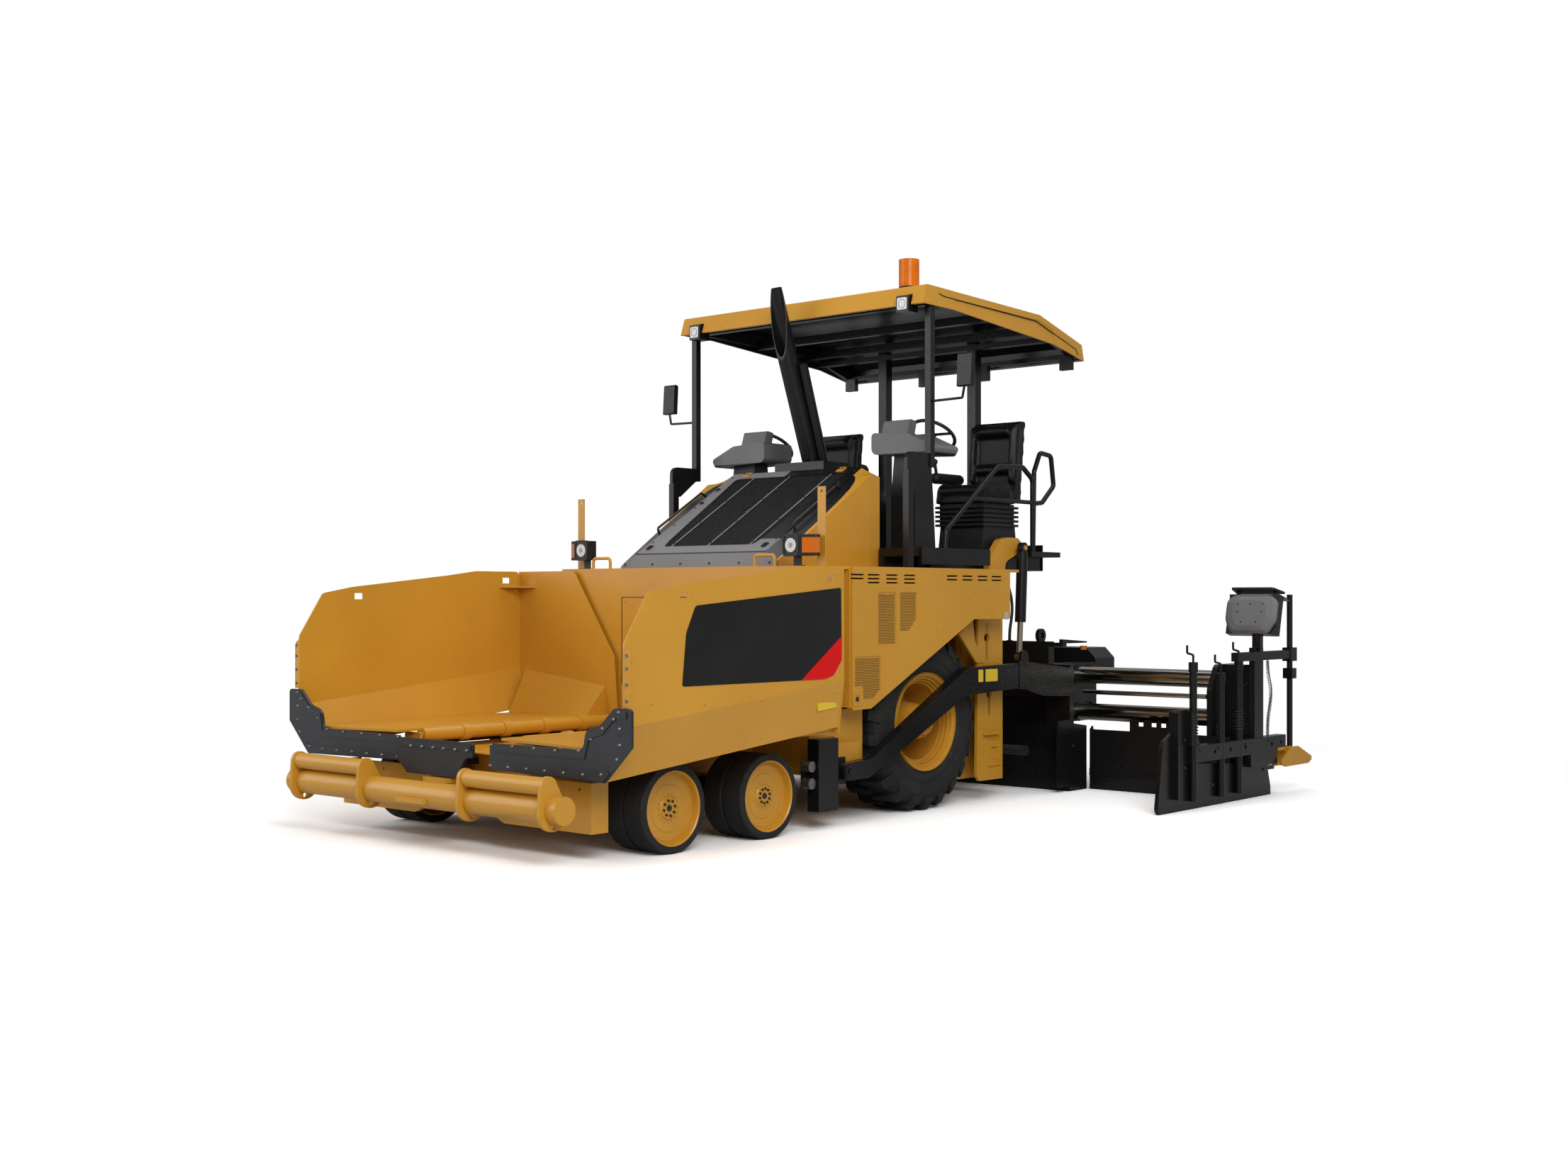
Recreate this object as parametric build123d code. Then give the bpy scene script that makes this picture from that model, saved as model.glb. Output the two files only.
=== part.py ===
from build123d import *
import math
import os

# Wheeled asphalt paver with an extendable screed.
# Front is -Y, the machine's left side is +X, up is +Z, ground is Z = 0.
# Every place below is measured from the rear axle; the finished model is moved
# at the end, so that its origin lies on the ground under the middle of its box.

# Running gear
rear_tyre_radius = 628.0
rear_tyre_width = 440.0
rear_tyre_outer_x = 1165.0
rear_rim_radius = 350.0
rim_flange_radius = 372.0
rim_flange_width = 22.0
lug_count = 22
lug_depth = 34.0
bogie_wheel_radius = 267.0
bogie_wheel_width = 320.0
bogie_wheel_outer_x = 1275.0
bogie_rim_radius = 232.0
front_bogie_y = -2663.0
rear_bogie_y = -1819.0
kingpin_radius = 28.0

# Chassis
frame_half_width = 620.0
beam_inner_x = frame_half_width + 40.0
beam_outer_x = beam_inner_x + 140.0
kingpin_x = beam_outer_x + 70.0
frame_plate = 30.0
frame_bottom = 300.0
frame_front_y = -3205.0
frame_rear_y = 900.0
machine_half_width = 1275.0
skin = 13.0
deck_top = 1715.0
deck_plate = 20.0
deck_front_half = machine_half_width - 155.0
front_wall_y = -1400.0
deck_rear_y = 1010.0
column_outer_x = 1110.0
column_inner_x = 890.0
column_rear_y = 1019.0
marker_x = (1131.0, 1196.0)
marker_y = -1176.0
marker_top = 2238.0

# Hopper
hopper_half_width = 1560.0
hopper_rear_y = -1440.0
hopper_front_y = -3340.0
wing_plate = 12.0
wing_hinge_x = 500.0
wing_hinge_z = 640.0
wing_tube_radius = 45.0
wing_tube_front = 200.0
wing_pin_radius = 20.0
wing_pin_length = 60.0
apron_plate = 18.0
apron_bottom = 482.0
flange_width = 40.0

# Push rollers
push_beam_y = -3530.0
push_beam_z = 332.0
push_beam_radius = 80.0
push_beam_half = 1290.0
push_bracket_x = (485.0, 1195.0)
push_bracket_plate = 26.0
roller_radius = 50.0
roller_z = 464.0
roller_pin_radius = 14.0
beam_pin_radius = 24.0
bumper_half = 1190.0
bumper_plate = 35.0

# Engine hood, exhaust
hood_foot_y = -1172.0
hood_rear_y = -88.0
lid_front_y = -1120.0
lid_front_z = 1826.0
lid_rear_y = -75.0
lid_rear_z = 2456.0
lid_half = 628.0
lid_thickness = 24.0
lid_recess = 14.0
stack_radius = 75.0
stack_wall = 6.0

# Operator's station
platform_top = 1860.0
platform_half = 1200.0
station_x = 800.0
seat_y = 1130.0
console_y = 320.0
post_size = 50.0
front_post_y = 43.0
rear_post_x = 450.0
rear_post_y = 1595.0
canopy_half = 1188.0
canopy_skin = 14.0
rail_radius = 19.0

# Tow arms and lift cylinders
tow_pivot_y = -1005.0
tow_pivot_z = 356.0
tow_pin_radius = 24.0
arm_inner_x = 1195.0
arm_outer_x = 1270.0
lift_x = 1147.0
lift_top_y = 1235.0
lift_top_z = 1885.0
lift_foot_y = 1190.0
lift_foot_z = 1060.0
barrel_radius = 42.0
barrel_length = 565.0
lift_rod_radius = 22.0
lift_eye_width = 44.0
lift_pin_radius = 18.0
foot_pin_radius = 12.0
foot_play = 9.0

# Screed
screed_half = 1267.5
screed_front_y = 1714.0
screed_depth = 251.0
screed_body_top = 500.0
screed_frame_half = 1050.0
screed_frame_top = 1160.0
tube_radius = 67.0
tube_upper_z = 885.0
tube_lower_z = 592.0
tube_row_y = (2200.0, 2370.0)
bearing_width = 110.0
bearing_x = (650.0, 995.0)
extension_inner_x = 1285.0
extension_outer_x = 2480.0
extension_front_y = 1980.0
extension_rear_y = 2600.0
moldboard_top = 470.0
carriage_x = 2290.0
carriage_plate = 40.0
gate_inner_x = 2500.0
gate_plate = 30.0
gate_front_y = 815.0
gate_rear_y = 2560.0
auger_y = 1372.0
auger_z = 330.0
auger_radius = 180.0
auger_shaft_radius = 38.0
auger_inner_x = 110.0
auger_outer_x = 1090.0
auger_stub = 60.0
auger_stub_radius = 20.0

# Hoses from the station to the screed, curly cords on the end gates
hose_diameter = 24.0
hose_gland_radius = 26.0
hose_gland = 5.0
hose_start = (420.0, 1765.0 + hose_gland, 1800.0)
hose_end = (650.0, 1805.0, screed_frame_top + hose_gland)
curly_diameter = 28.0
sensor_arm_low = 1035.0
gate_beam_top = 452.0

# Clearances
pin_gap = 0.5
slide_gap = 0.5
seat_gap = 0.3
moving_gap = 8.0
lid_side_gap = 6.0
lid_sink = 4.0

apron_y = hopper_front_y - apron_plate - seat_gap
roller_y = push_beam_y - 42.0

nodes = {}


def block(x_range, y_range, z_range):
    size = [high - low for low, high in (x_range, y_range, z_range)]
    return Pos(x_range[0], y_range[0], z_range[0]) * Box(*size, align=(Align.MIN,) * 3)


def rounded(outline, rounds):
    # outline: (a, b) corners; rounds: {corner index: radius}
    face = Polygon(*outline, align=None)
    for index, radius in rounds.items():
        corner = face.vertices().sort_by_distance(Vector(*outline[index], 0))[0]
        face = fillet(corner, radius)
    return face


def side_plate(outline, x_range, rounds={}):
    # outline: (y, z) corners
    face = Plane(origin=(x_range[0], 0, 0), x_dir=(0, 1, 0), z_dir=(1, 0, 0)) * rounded(outline, rounds)
    return extrude(face, amount=x_range[1] - x_range[0], dir=(1, 0, 0))


def cross_plate(outline, y_range, rounds={}):
    # outline: (x, z) corners
    face = Plane(origin=(0, y_range[0], 0), x_dir=(1, 0, 0), z_dir=(0, -1, 0)) * rounded(outline, rounds)
    return extrude(face, amount=y_range[1] - y_range[0], dir=(0, 1, 0))


def flat_plate(outline, z_range, rounds={}):
    # outline: (x, y) corners
    face = Pos(0, 0, z_range[0]) * rounded(outline, rounds)
    return extrude(face, amount=z_range[1] - z_range[0], dir=(0, 0, 1))


def rod(start, end, radius):
    direction = Vector(*end) - Vector(*start)
    bar = Cylinder(radius, direction.length, align=(Align.CENTER, Align.CENTER, Align.MIN))
    return Plane(origin=start, z_dir=direction) * bar


def pin_x(x_range, y, z, radius):
    return rod((x_range[0], y, z), (x_range[1], y, z), radius)


def turned(profile, y, z):
    # profile: (x, radius) corners, turned about the line along X through y, z
    face = Polygon(*profile, align=None)
    return Pos(0, y, z) * revolve(face, axis=Axis.X)


def bent_pipe(points, radius, bend):
    path = FilletPolyline(*points, radius=bend)
    start = Plane(origin=path @ 0, z_dir=path % 0)
    return sweep(start * Circle(radius), path=path)


def mirrored(shape):
    return mirror(shape, about=Plane.YZ)


def both(shape):
    return shape + mirrored(shape)


def slot_cut(x_range, y, z, length, height):
    return block(x_range, (y - length / 2, y + length / 2), (z - height / 2, z + height / 2))


def add_pair(name, shape):
    nodes[name + "_left"] = shape
    nodes[name + "_right"] = mirrored(shape)


# Rear wheels: wide tyre with lug tips, deep dished rim on a stub axle
axle_stub = 100.0
axle_stub_radius = 60.0
rear_wheel_x = rear_tyre_outer_x - rear_tyre_width / 2
rear_axle_z = rear_tyre_radius


def rear_tyre():
    half = rear_tyre_width / 2
    tread = rear_tyre_radius - lug_depth
    carcass = [
        (-half + 30, rear_rim_radius), (-half + 6, rear_rim_radius + 40), (-half + 6, tread - 60),
        (-half + 34, tread - 12), (-half + 70, tread), (half - 70, tread), (half - 34, tread - 12),
        (half - 6, tread - 60), (half - 6, rear_rim_radius + 96), (half - 12, rear_rim_radius + 90),
        (half - 12, rear_rim_radius + 78), (half - 6, rear_rim_radius + 72), (half - 6, rear_rim_radius + 40),
        (half - 30, rear_rim_radius)]
    shape = turned(carcass, 0, 0)
    envelope = turned([(-half, tread - 62), (-half, rear_tyre_radius - 62), (-half + 46, rear_tyre_radius),
                       (half - 46, rear_tyre_radius), (half, rear_tyre_radius - 62), (half, tread - 62),
                       (half - 60, tread - 20), (-half + 60, tread - 20)], 0, 0)
    lug_outline = [(-14, -26), (130, -34), (half + 5, -58), (half + 5, 30), (130, 22), (-14, 18)]
    prism = Pos(0, 0, 400) * extrude(Polygon(*lug_outline, align=None), amount=300)
    outer_lug = prism & envelope
    inner_lug = mirror(prism, about=Plane.YZ) & envelope
    step = 360 / lug_count
    lugs = []
    for index in range(lug_count):
        lugs.append(Rot(step * index, 0, 0) * outer_lug)
        lugs.append(Rot(step * (index + 0.5), 0, 0) * inner_lug)
    return Pos(rear_wheel_x, 0, rear_axle_z) * shape.fuse(*lugs)


def rear_rim():
    half = rear_tyre_width / 2
    seat = rear_rim_radius - seat_gap
    profile = [
        (-half + 20, 0), (-half + 60, 0), (-half + 60, 200), (-half + 60, seat - 78), (half - 96, seat - 78),
        (half - 96, seat - 62), (half - 74, seat - 62), (half - 74, seat - 46), (half - 52, seat - 46),
        (half - 52, seat - 30), (half - 26, seat - 22), (half - 22, rim_flange_radius - 30),
        (half - 30 + rim_flange_width, rim_flange_radius - 26), (half - 30 + rim_flange_width, seat - 2),
        (half - 30, seat), (-half + 30, seat), (-half + 20, seat - 30), (-half + 20, seat - 90)]
    dish = turned(profile, 0, rear_axle_z)
    hub = turned([(-half + 55, 0), (-half + 55, 205), (-half + 96, 205), (-half + 96, 186), (-half + 130, 178),
                  (-half + 130, 150), (half - 120, 128), (half - 70, 118), (half - 70, 100), (half - 22, 92),
                  (half - 12, 82), (half - 12, 0)], 0, rear_axle_z)
    bore = pin_x((-half, -half + 20 + axle_stub), 0, rear_axle_z, axle_stub_radius + pin_gap)
    return Pos(rear_wheel_x, 0, 0) * (dish + hub - bore)


add_pair("rear_tyre", rear_tyre())
add_pair("rear_rim", rear_rim())


# Bogie wheels: twin rubber rings on a dished rim, on steering knuckles
bogie_wheel_x = bogie_wheel_outer_x - bogie_wheel_width / 2
bogie_axle_z = bogie_wheel_radius
spindle_radius = 40.0
knuckle_radius = 52.0
knuckle_height = 150.0
bogie_disc_thickness = 28.0
bogie_dish = 48.0


def bogie_wheel(y):
    half = bogie_wheel_width / 2
    top = bogie_wheel_radius
    disc_out = half - bogie_dish
    disc_in = disc_out - bogie_disc_thickness
    bore = spindle_radius + pin_gap
    profile = [
        (-half, bogie_rim_radius), (-half, top - 6), (-half + 6, top), (-14, top), (-6, top - 14), (6, top - 14),
        (14, top), (half - 6, top), (half, top - 6), (half, bogie_rim_radius - 10),
        (half - 8, bogie_rim_radius - 18), (disc_out, bogie_rim_radius - 26), (disc_out, 72),
        (disc_out + 9, 64), (disc_out + 9, 0), (disc_out - 14, 0), (disc_out - 14, bore), (disc_in - 30, bore),
        (disc_in - 30, 90), (disc_in, 90), (disc_in, bogie_rim_radius - 30),
        (-half + 10, bogie_rim_radius - 22)]
    return Pos(bogie_wheel_x, 0, 0) * turned(profile, y, bogie_axle_z)


def knuckle(y):
    barrel = rod((kingpin_x, y, bogie_axle_z - knuckle_height / 2),
                 (kingpin_x, y, bogie_axle_z + knuckle_height / 2), knuckle_radius)
    disc_out = bogie_wheel_x + bogie_wheel_width / 2 - bogie_dish
    spindle = pin_x((kingpin_x, disc_out - 16), y, bogie_axle_z, spindle_radius)
    collar_end = disc_out - bogie_disc_thickness - 30 - 2
    collar = pin_x((kingpin_x, collar_end), y, bogie_axle_z, spindle_radius + 14)
    bore = rod((kingpin_x, y, 0), (kingpin_x, y, 2 * bogie_axle_z), kingpin_radius + pin_gap)
    return barrel + spindle + collar - bore


for place, wheel_y in (("front", front_bogie_y), ("rear", rear_bogie_y)):
    add_pair("bogie_wheel_" + place, bogie_wheel(wheel_y))
    add_pair("steering_knuckle_" + place, knuckle(wheel_y))


# Bogie beams: one each side, rocking arm between its two kingpins
beam_height = 212.0
ear_thickness = 26.0


def bogie_beam():
    beam = block((beam_inner_x, beam_outer_x), (front_bogie_y - 120, rear_bogie_y + 120),
                 (bogie_axle_z - beam_height / 2, bogie_axle_z + beam_height / 2))
    middle = (front_bogie_y + rear_bogie_y) / 2
    carrier = side_plate([(middle - 330, bogie_axle_z + 60), (middle + 330, bogie_axle_z + 60),
                          (middle + 120, 470), (middle - 120, 470)], (beam_inner_x + 20, beam_outer_x - 20))
    pivot = pin_x((frame_half_width - 10, beam_outer_x), middle, 400, 55)
    shape = beam + carrier + pivot
    for y in (front_bogie_y, rear_bogie_y):
        for side in (-1, 1):
            z = bogie_axle_z + side * (knuckle_height / 2 + 1 + ear_thickness / 2)
            ear = block((beam_outer_x - 60, kingpin_x + 20), (y - 45, y + 45),
                        (z - ear_thickness / 2, z + ear_thickness / 2))
            ear += rod((kingpin_x, y, z - ear_thickness / 2), (kingpin_x, y, z + ear_thickness / 2), 45)
            shape += ear
        z_low = bogie_axle_z - knuckle_height / 2 - ear_thickness
        z_high = bogie_axle_z + knuckle_height / 2 + ear_thickness
        shape += rod((kingpin_x, y, z_low), (kingpin_x, y, z_high), kingpin_radius)
    return shape


nodes["bogie_beams"] = both(bogie_beam() - block((0, frame_half_width + seat_gap), (-4000, 0), (0, 1000)))


# Main frame: welded hull with the conveyor tunnel, rear axle, columns and lift brackets
tank_outer_x = arm_inner_x - 20
jaw_half = 62.0
pivot_y = (push_beam_y + push_beam_radius + frame_front_y - bumper_plate) / 2
tunnel_top = 760.0
tunnel_floor = 480.0
hull_top = deck_top - deck_plate
wing_floor_clear = 560.0


def main_frame():
    outline = [(frame_front_y, frame_bottom + 40), (frame_front_y + 60, frame_bottom), (frame_rear_y, frame_bottom),
               (frame_rear_y, hull_top), (front_wall_y + 15, hull_top), (front_wall_y + 15, wing_floor_clear),
               (frame_front_y, wing_floor_clear)]
    sides = both(side_plate(outline, (frame_half_width - frame_plate, frame_half_width)))
    inner = frame_half_width - frame_plate
    belly = block((-inner, inner), (frame_front_y + 60, frame_rear_y), (frame_bottom, frame_bottom + frame_plate))
    nose = block((-inner, inner), (frame_front_y, frame_front_y + frame_plate),
                 (frame_bottom + 40, wing_floor_clear))
    tunnel_roof = block((-inner, inner), (front_wall_y + 15, frame_rear_y), (tunnel_top, tunnel_top + frame_plate))
    rear_wall = block((-inner, inner), (frame_rear_y - frame_plate, frame_rear_y), (tunnel_top, hull_top))
    rim_inner_x = rear_tyre_outer_x - rear_tyre_width + 20
    drum = pin_x((frame_half_width - 5, rim_inner_x - moving_gap), 0, rear_axle_z, 195)
    stub = pin_x((frame_half_width, rim_inner_x + axle_stub - 4), 0, rear_axle_z, axle_stub_radius)
    tank = block((frame_half_width - 5, column_outer_x + 10), (-1250, -690), (400, 760))
    tank += block((frame_half_width - 5, tank_outer_x), (-1250, -787), (340, 545))
    shape = sides + belly + nose + tunnel_roof + rear_wall
    return shape + both(drum + stub + tank + wing_hinges()) + auger_drive()


def front_bumper():
    outline = [(-bumper_half, 165), (-430, 165), (-330, 205), (330, 205), (430, 165), (bumper_half, 165),
               (bumper_half, 455), (-bumper_half, 455)]
    bumper = cross_plate(outline, (frame_front_y - bumper_plate, frame_front_y - seat_gap))
    returns = both(block((bumper_half - 14, bumper_half), (frame_front_y - bumper_plate + 5, frame_front_y + 95),
                         (165, 455)))
    holes = None
    for x in (250, 520, 760, 1090):
        hole = rod((x, frame_front_y - 60, 415), (x, frame_front_y + 5, 415), 9)
        holes = hole if holes is None else holes + hole
    jaw_y = (push_beam_y + push_beam_radius + 25, frame_front_y - bumper_plate + 5)
    jaws = block((-110, 110), jaw_y, (push_beam_z - 92, push_beam_z - jaw_half))
    jaws += block((-110, 110), jaw_y, (push_beam_z + jaw_half, push_beam_z + 90))
    jaws += rod((0, pivot_y, push_beam_z - 92), (0, pivot_y, push_beam_z + 90), beam_pin_radius)
    return bumper - both(holes) + returns + jaws


def wing_hinges():
    shape = None
    for face_y, ear_y, pin_end in ((hopper_front_y + wing_tube_front, hopper_front_y + wing_tube_front - 30, 1),
                                   (hopper_rear_y, front_wall_y - 4, -1)):
        ear = block((wing_hinge_x - 40, frame_half_width), (ear_y - 8, ear_y + 8),
                    (wing_floor_clear - 8, wing_hinge_z + 16))
        pin = rod((wing_hinge_x, ear_y, wing_hinge_z), (wing_hinge_x, face_y + pin_end * wing_pin_length, wing_hinge_z),
                  wing_pin_radius)
        shape = ear + pin if shape is None else shape + ear + pin
    return shape


# Holes of the column's outer plate: y, hole z, slot's low end, slit's high end
keyholes = ((811.0, 1208.0, 1042.0, 1322.0), (841.0, 789.0, 628.0, 815.0))
fender_outline = [(446, 1243), (671, 1024), (780, 1020), (651, 1183), (621, 1353)]


def rear_column():
    outline = [(680, 184), (715, 148), (column_rear_y, 148), (column_rear_y, hull_top), (735, hull_top), (700, 1330)]
    outer = side_plate(outline, (column_outer_x - 24, column_outer_x))
    cut_x = (column_outer_x - 30, column_outer_x + 1)
    for y, z, slot_low, slit_high in keyholes:
        outer -= pin_x(cut_x, y, z, 34)
        outer -= block(cut_x, (y - 15, y + 15), (slot_low, z))
        outer -= block(cut_x, (y - 6, y + 6), (z, slit_high))
    outer += block((column_outer_x - 5, column_outer_x + 8), (815, 985), (250, 440))
    outer -= block((column_outer_x - 8, column_outer_x + 9), (865, 937), (295, 392))
    outer += block((column_outer_x - 5, column_outer_x + 34), (755, 947), (488, 500))
    fender = side_plate(fender_outline, (column_outer_x - 12, column_outer_x + 6))
    inner = side_plate(outline, (column_inner_x, column_inner_x + 24))
    rear = block((column_inner_x, column_outer_x), (column_rear_y - 24, column_rear_y), (148, hull_top))
    ledges = block((frame_half_width + seat_gap, column_inner_x + 5), (735, 890), (820, 1640))
    bracket = side_plate([(860, hull_top - 60), (868, 1790), (1010, 1945), (1120, 1963), (1250, 1961),
                          (1315, 1920), (1235, 1834), (1085, 1779), (1062, hull_top - 60)],
                         (lift_x - barrel_radius - 60, lift_x - barrel_radius - 10), {2: 90, 4: 30, 5: 30, 7: 60})
    pin = pin_x((lift_x - barrel_radius - 30, lift_x + lift_eye_width / 2 + 10),
                lift_top_y, lift_top_z, lift_pin_radius)
    return outer + fender + inner + rear + ledges + bracket + pin


def auger_drive():
    arm = block((-70, 70), (frame_rear_y - 10, auger_y + 60), (tunnel_top + 20, tunnel_top + 110))
    case = block((-70, 70), (auger_y - 75, auger_y + 75), (auger_z - 75, tunnel_top + 30))
    hub_end = auger_inner_x - moving_gap
    hubs = pin_x((-hub_end, hub_end), auger_y, auger_z, 60)
    stub_end = auger_inner_x + auger_stub
    return arm + case + hubs + pin_x((-stub_end, stub_end), auger_y, auger_z, auger_stub_radius)


nodes["main_frame"] = main_frame()
nodes["front_bumper"] = front_bumper()
nodes["rear_columns"] = both(rear_column())


# Conveyors: two slat chains in the tunnel with a middle ridge
slat_pitch = 320.0
slat_height = 26.0
conveyor_half = 440.0
conveyor_front_y = -3080.0
conveyor_rear_y = 1000.0


def conveyors():
    inner = frame_half_width - frame_plate
    floor = block((-inner + seat_gap, inner - seat_gap), (frame_front_y + frame_plate + 2, conveyor_rear_y),
                  (tunnel_floor, tunnel_floor + 16))
    ridge = cross_plate([(-60, tunnel_floor + 10), (60, tunnel_floor + 10), (40, tunnel_floor + 90),
                         (-40, tunnel_floor + 90)], (conveyor_front_y, conveyor_rear_y))
    rails = both(block((conveyor_half, conveyor_half + 30), (conveyor_front_y, conveyor_rear_y),
                       (tunnel_floor + 10, tunnel_floor + 70)))
    shape = floor + ridge + rails
    count = int((conveyor_rear_y - conveyor_front_y) / slat_pitch)
    for index in range(count):
        y = conveyor_front_y + slat_pitch * (index + 0.5)
        shape += block((-conveyor_half - 10, conveyor_half + 10), (y, y + 45),
                       (tunnel_floor + 10, tunnel_floor + 16 + slat_height))
    return shape


nodes["conveyors"] = conveyors()


# Hopper wings: floor, sloping foot, side wall with folded rear plate and corner plate
wall_slots = ((-2870.0, 1517.0), (-1570.0, 1633.0))


def wing():
    out = hopper_half_width
    floor_z = wing_hinge_z + wing_tube_radius - 20
    wall = side_plate([(hopper_front_y, 1250), (-3160, 1530), (-3141, 1540), (-2920, 1580), (-2100, 1667),
                       (-1850, 1700), (hopper_rear_y, 1700), (hopper_rear_y, 980), (hopper_front_y, 790)],
                      (out - wing_plate, out), {0: 60, 3: 300, 5: 200, 6: 45})
    for y, z in wall_slots:
        wall -= slot_cut((out - 50, out + 10), y, z, 70, 42)
    flange = cross_plate([(out - 5, 905), (out + flange_width, 905), (out + flange_width, 1190),
                          (out + flange_width - 15, 1217), (out - 5, 1225)], (hopper_front_y, hopper_front_y + 11))
    foot_front = [(out - wing_plate, 795), (out, 790), (1424, 486), (1412, 486)]
    foot_rear = [(out - wing_plate, 985), (out, 980), (out - 40, 690), (out - 54, 690)]
    foot = loft([cross_face(foot_front, hopper_front_y), cross_face(foot_rear, hopper_rear_y)], ruled=True)
    floor = cross_plate([(wing_hinge_x, floor_z), (1475, floor_z - 20), (1475, floor_z - 4), (wing_hinge_x, floor_z + 16)],
                        (hopper_front_y + 20, hopper_rear_y))
    tube_ends = [(wing_hinge_x, hopper_front_y + wing_tube_front, wing_hinge_z),
                 (wing_hinge_x, hopper_rear_y, wing_hinge_z)]
    tube = rod(*tube_ends, wing_tube_radius)
    bore = rod(*tube_ends, wing_pin_radius + pin_gap)
    length = hopper_rear_y - hopper_front_y - wing_tube_front
    for share in (0.2, 0.4, 0.6, 0.8):
        y = hopper_front_y + wing_tube_front + share * length
        tube += rod((wing_hinge_x, y - 30, wing_hinge_z), (wing_hinge_x, y + 30, wing_hinge_z), wing_tube_radius + 9)
    rear = cross_plate([(out, 1700), (960, 1700), (535, 1090), (500, wing_hinge_z + 30), (out - 40, floor_z - 20),
                        (out, 980)], (hopper_rear_y, hopper_rear_y + wing_plate), {1: 60})
    corner = cross_slope([(out - 6, hopper_rear_y, 975), (620, hopper_rear_y, 880), (620, -1625, floor_z + 8),
                          (1480, -1605, floor_z)])
    gusset = flat_plate([(out - 4, hopper_rear_y + 4), (out - 4, hopper_rear_y - 210), (out - 200, hopper_rear_y + 4)],
                        (1580, 1592))
    gusset -= rod((out - 62, hopper_rear_y - 58, 1570), (out - 62, hopper_rear_y - 58, 1600), 24)
    return wall + flange + foot + floor + tube + rear + corner + gusset - bore


def cross_face(outline, y):
    return Plane(origin=(0, y, 0), x_dir=(1, 0, 0), z_dir=(0, -1, 0)) * Polygon(*outline, align=None)


def cross_slope(corners):
    # solid wedge under a sloping plate: corners in order rear outer, rear inner, front inner, front outer
    rear_outer, rear_inner, front_inner, front_outer = corners
    foot_z = min(front_inner[2], front_outer[2]) - 6
    outer = [(rear_outer[1], rear_outer[2]), (front_outer[1], front_outer[2]), (front_outer[1], foot_z),
             (rear_outer[1], foot_z)]
    inner = [(rear_inner[1], rear_inner[2]), (front_inner[1], front_inner[2]), (front_inner[1], foot_z),
             (rear_inner[1], foot_z)]
    faces = []
    for x, outline in ((rear_inner[0], inner), (front_outer[0], outer)):
        faces.append(Plane(origin=(x, 0, 0), x_dir=(0, 1, 0), z_dir=(1, 0, 0)) * Polygon(*outline, align=None))
    return loft(faces, ruled=True)


add_pair("hopper_wing", wing())


# Aprons: rubber-faced plates across the hopper's mouth
def wing_apron():
    outline = [(wing_hinge_x - 60, apron_bottom + 16), (1421, apron_bottom), (1637, 690), (1637, 900), (1500, 900),
               (1390, 800), (1270, 770), (1250, 655), (wing_hinge_x - 60, 650)]
    plate = cross_plate(outline, (apron_y, apron_y + apron_plate), {3: 25, 4: 60, 5: 80, 6: 60, 7: 50})
    low_strip = cross_plate([(wing_hinge_x - 50, apron_bottom + 22), (1415, apron_bottom + 8), (1470, 536),
                             (1440, 552), (1400, 538), (wing_hinge_x - 50, 552)], (apron_y - 6, apron_y + 2))
    top_strip = cross_plate([(wing_hinge_x - 50, 604), (1262, 604), (1300, 720), (1410, 750), (1512, 846), (1600, 846),
                             (1600, 885), (1506, 885), (1396, 788), (1280, 757), (1256, 643),
                             (wing_hinge_x - 50, 640)], (apron_y - 6, apron_y + 2))
    return plate + low_strip + top_strip


def apron_centre():
    outline = [(-420, 645), (320, 645), (320, 560), (250, 550), (165, 430), (-310, 430), (-400, 500), (-420, 560)]
    flap_y = apron_y - apron_plate - moving_gap - 6
    flap = cross_plate(outline, (flap_y, flap_y + apron_plate), {0: 20, 1: 20, 3: 30, 4: 30, 5: 30})
    bar = cross_plate([(-405, 596), (305, 596), (305, 630), (-405, 630)], (flap_y - 6, flap_y + 2))
    stay = block((-300, 150), (flap_y + apron_plate - 2, frame_front_y - seat_gap), (500, 540))
    return flap + bar + stay


add_pair("hopper_apron", wing_apron())
nodes["apron_centre"] = apron_centre()


# Push rollers: rocking beam with four brackets and two free rollers
def push_bracket(x):
    big = Pos(push_beam_y - 10, push_beam_z - 20) * Edge.make_circle(100)
    small = Pos(roller_y, roller_z) * Edge.make_circle(58)
    x_low = x - push_bracket_plate / 2
    outline = Plane(origin=(x_low, 0, 0), x_dir=(0, 1, 0), z_dir=(1, 0, 0)) * make_hull([big, small])
    plate = extrude(outline, amount=push_bracket_plate, dir=(1, 0, 0))
    plate -= pin_x((x_low - 1, x_low + push_bracket_plate + 1), push_beam_y - 6, push_beam_z - 92, 18)
    return plate


def push_beam():
    shape = pin_x((-push_beam_half, push_beam_half), push_beam_y, push_beam_z, push_beam_radius)
    for x in push_bracket_x:
        shape += both(push_bracket(x))
    tongue = block((-105, 105), (push_beam_y, pivot_y + 55),
                   (push_beam_z - jaw_half + 3, push_beam_z + jaw_half - 3))
    grip = block((-100, 160), (push_beam_y - push_beam_radius - 24, push_beam_y), (push_beam_z - 40, push_beam_z - 12))
    bore = rod((0, pivot_y, push_beam_z - 100), (0, pivot_y, push_beam_z + 100), beam_pin_radius + pin_gap)
    axle_pin = pin_x((roller_span[0] - 5, roller_span[1] + 5), roller_y, roller_z, roller_pin_radius)
    return shape + tongue + grip - bore + both(axle_pin)


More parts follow.
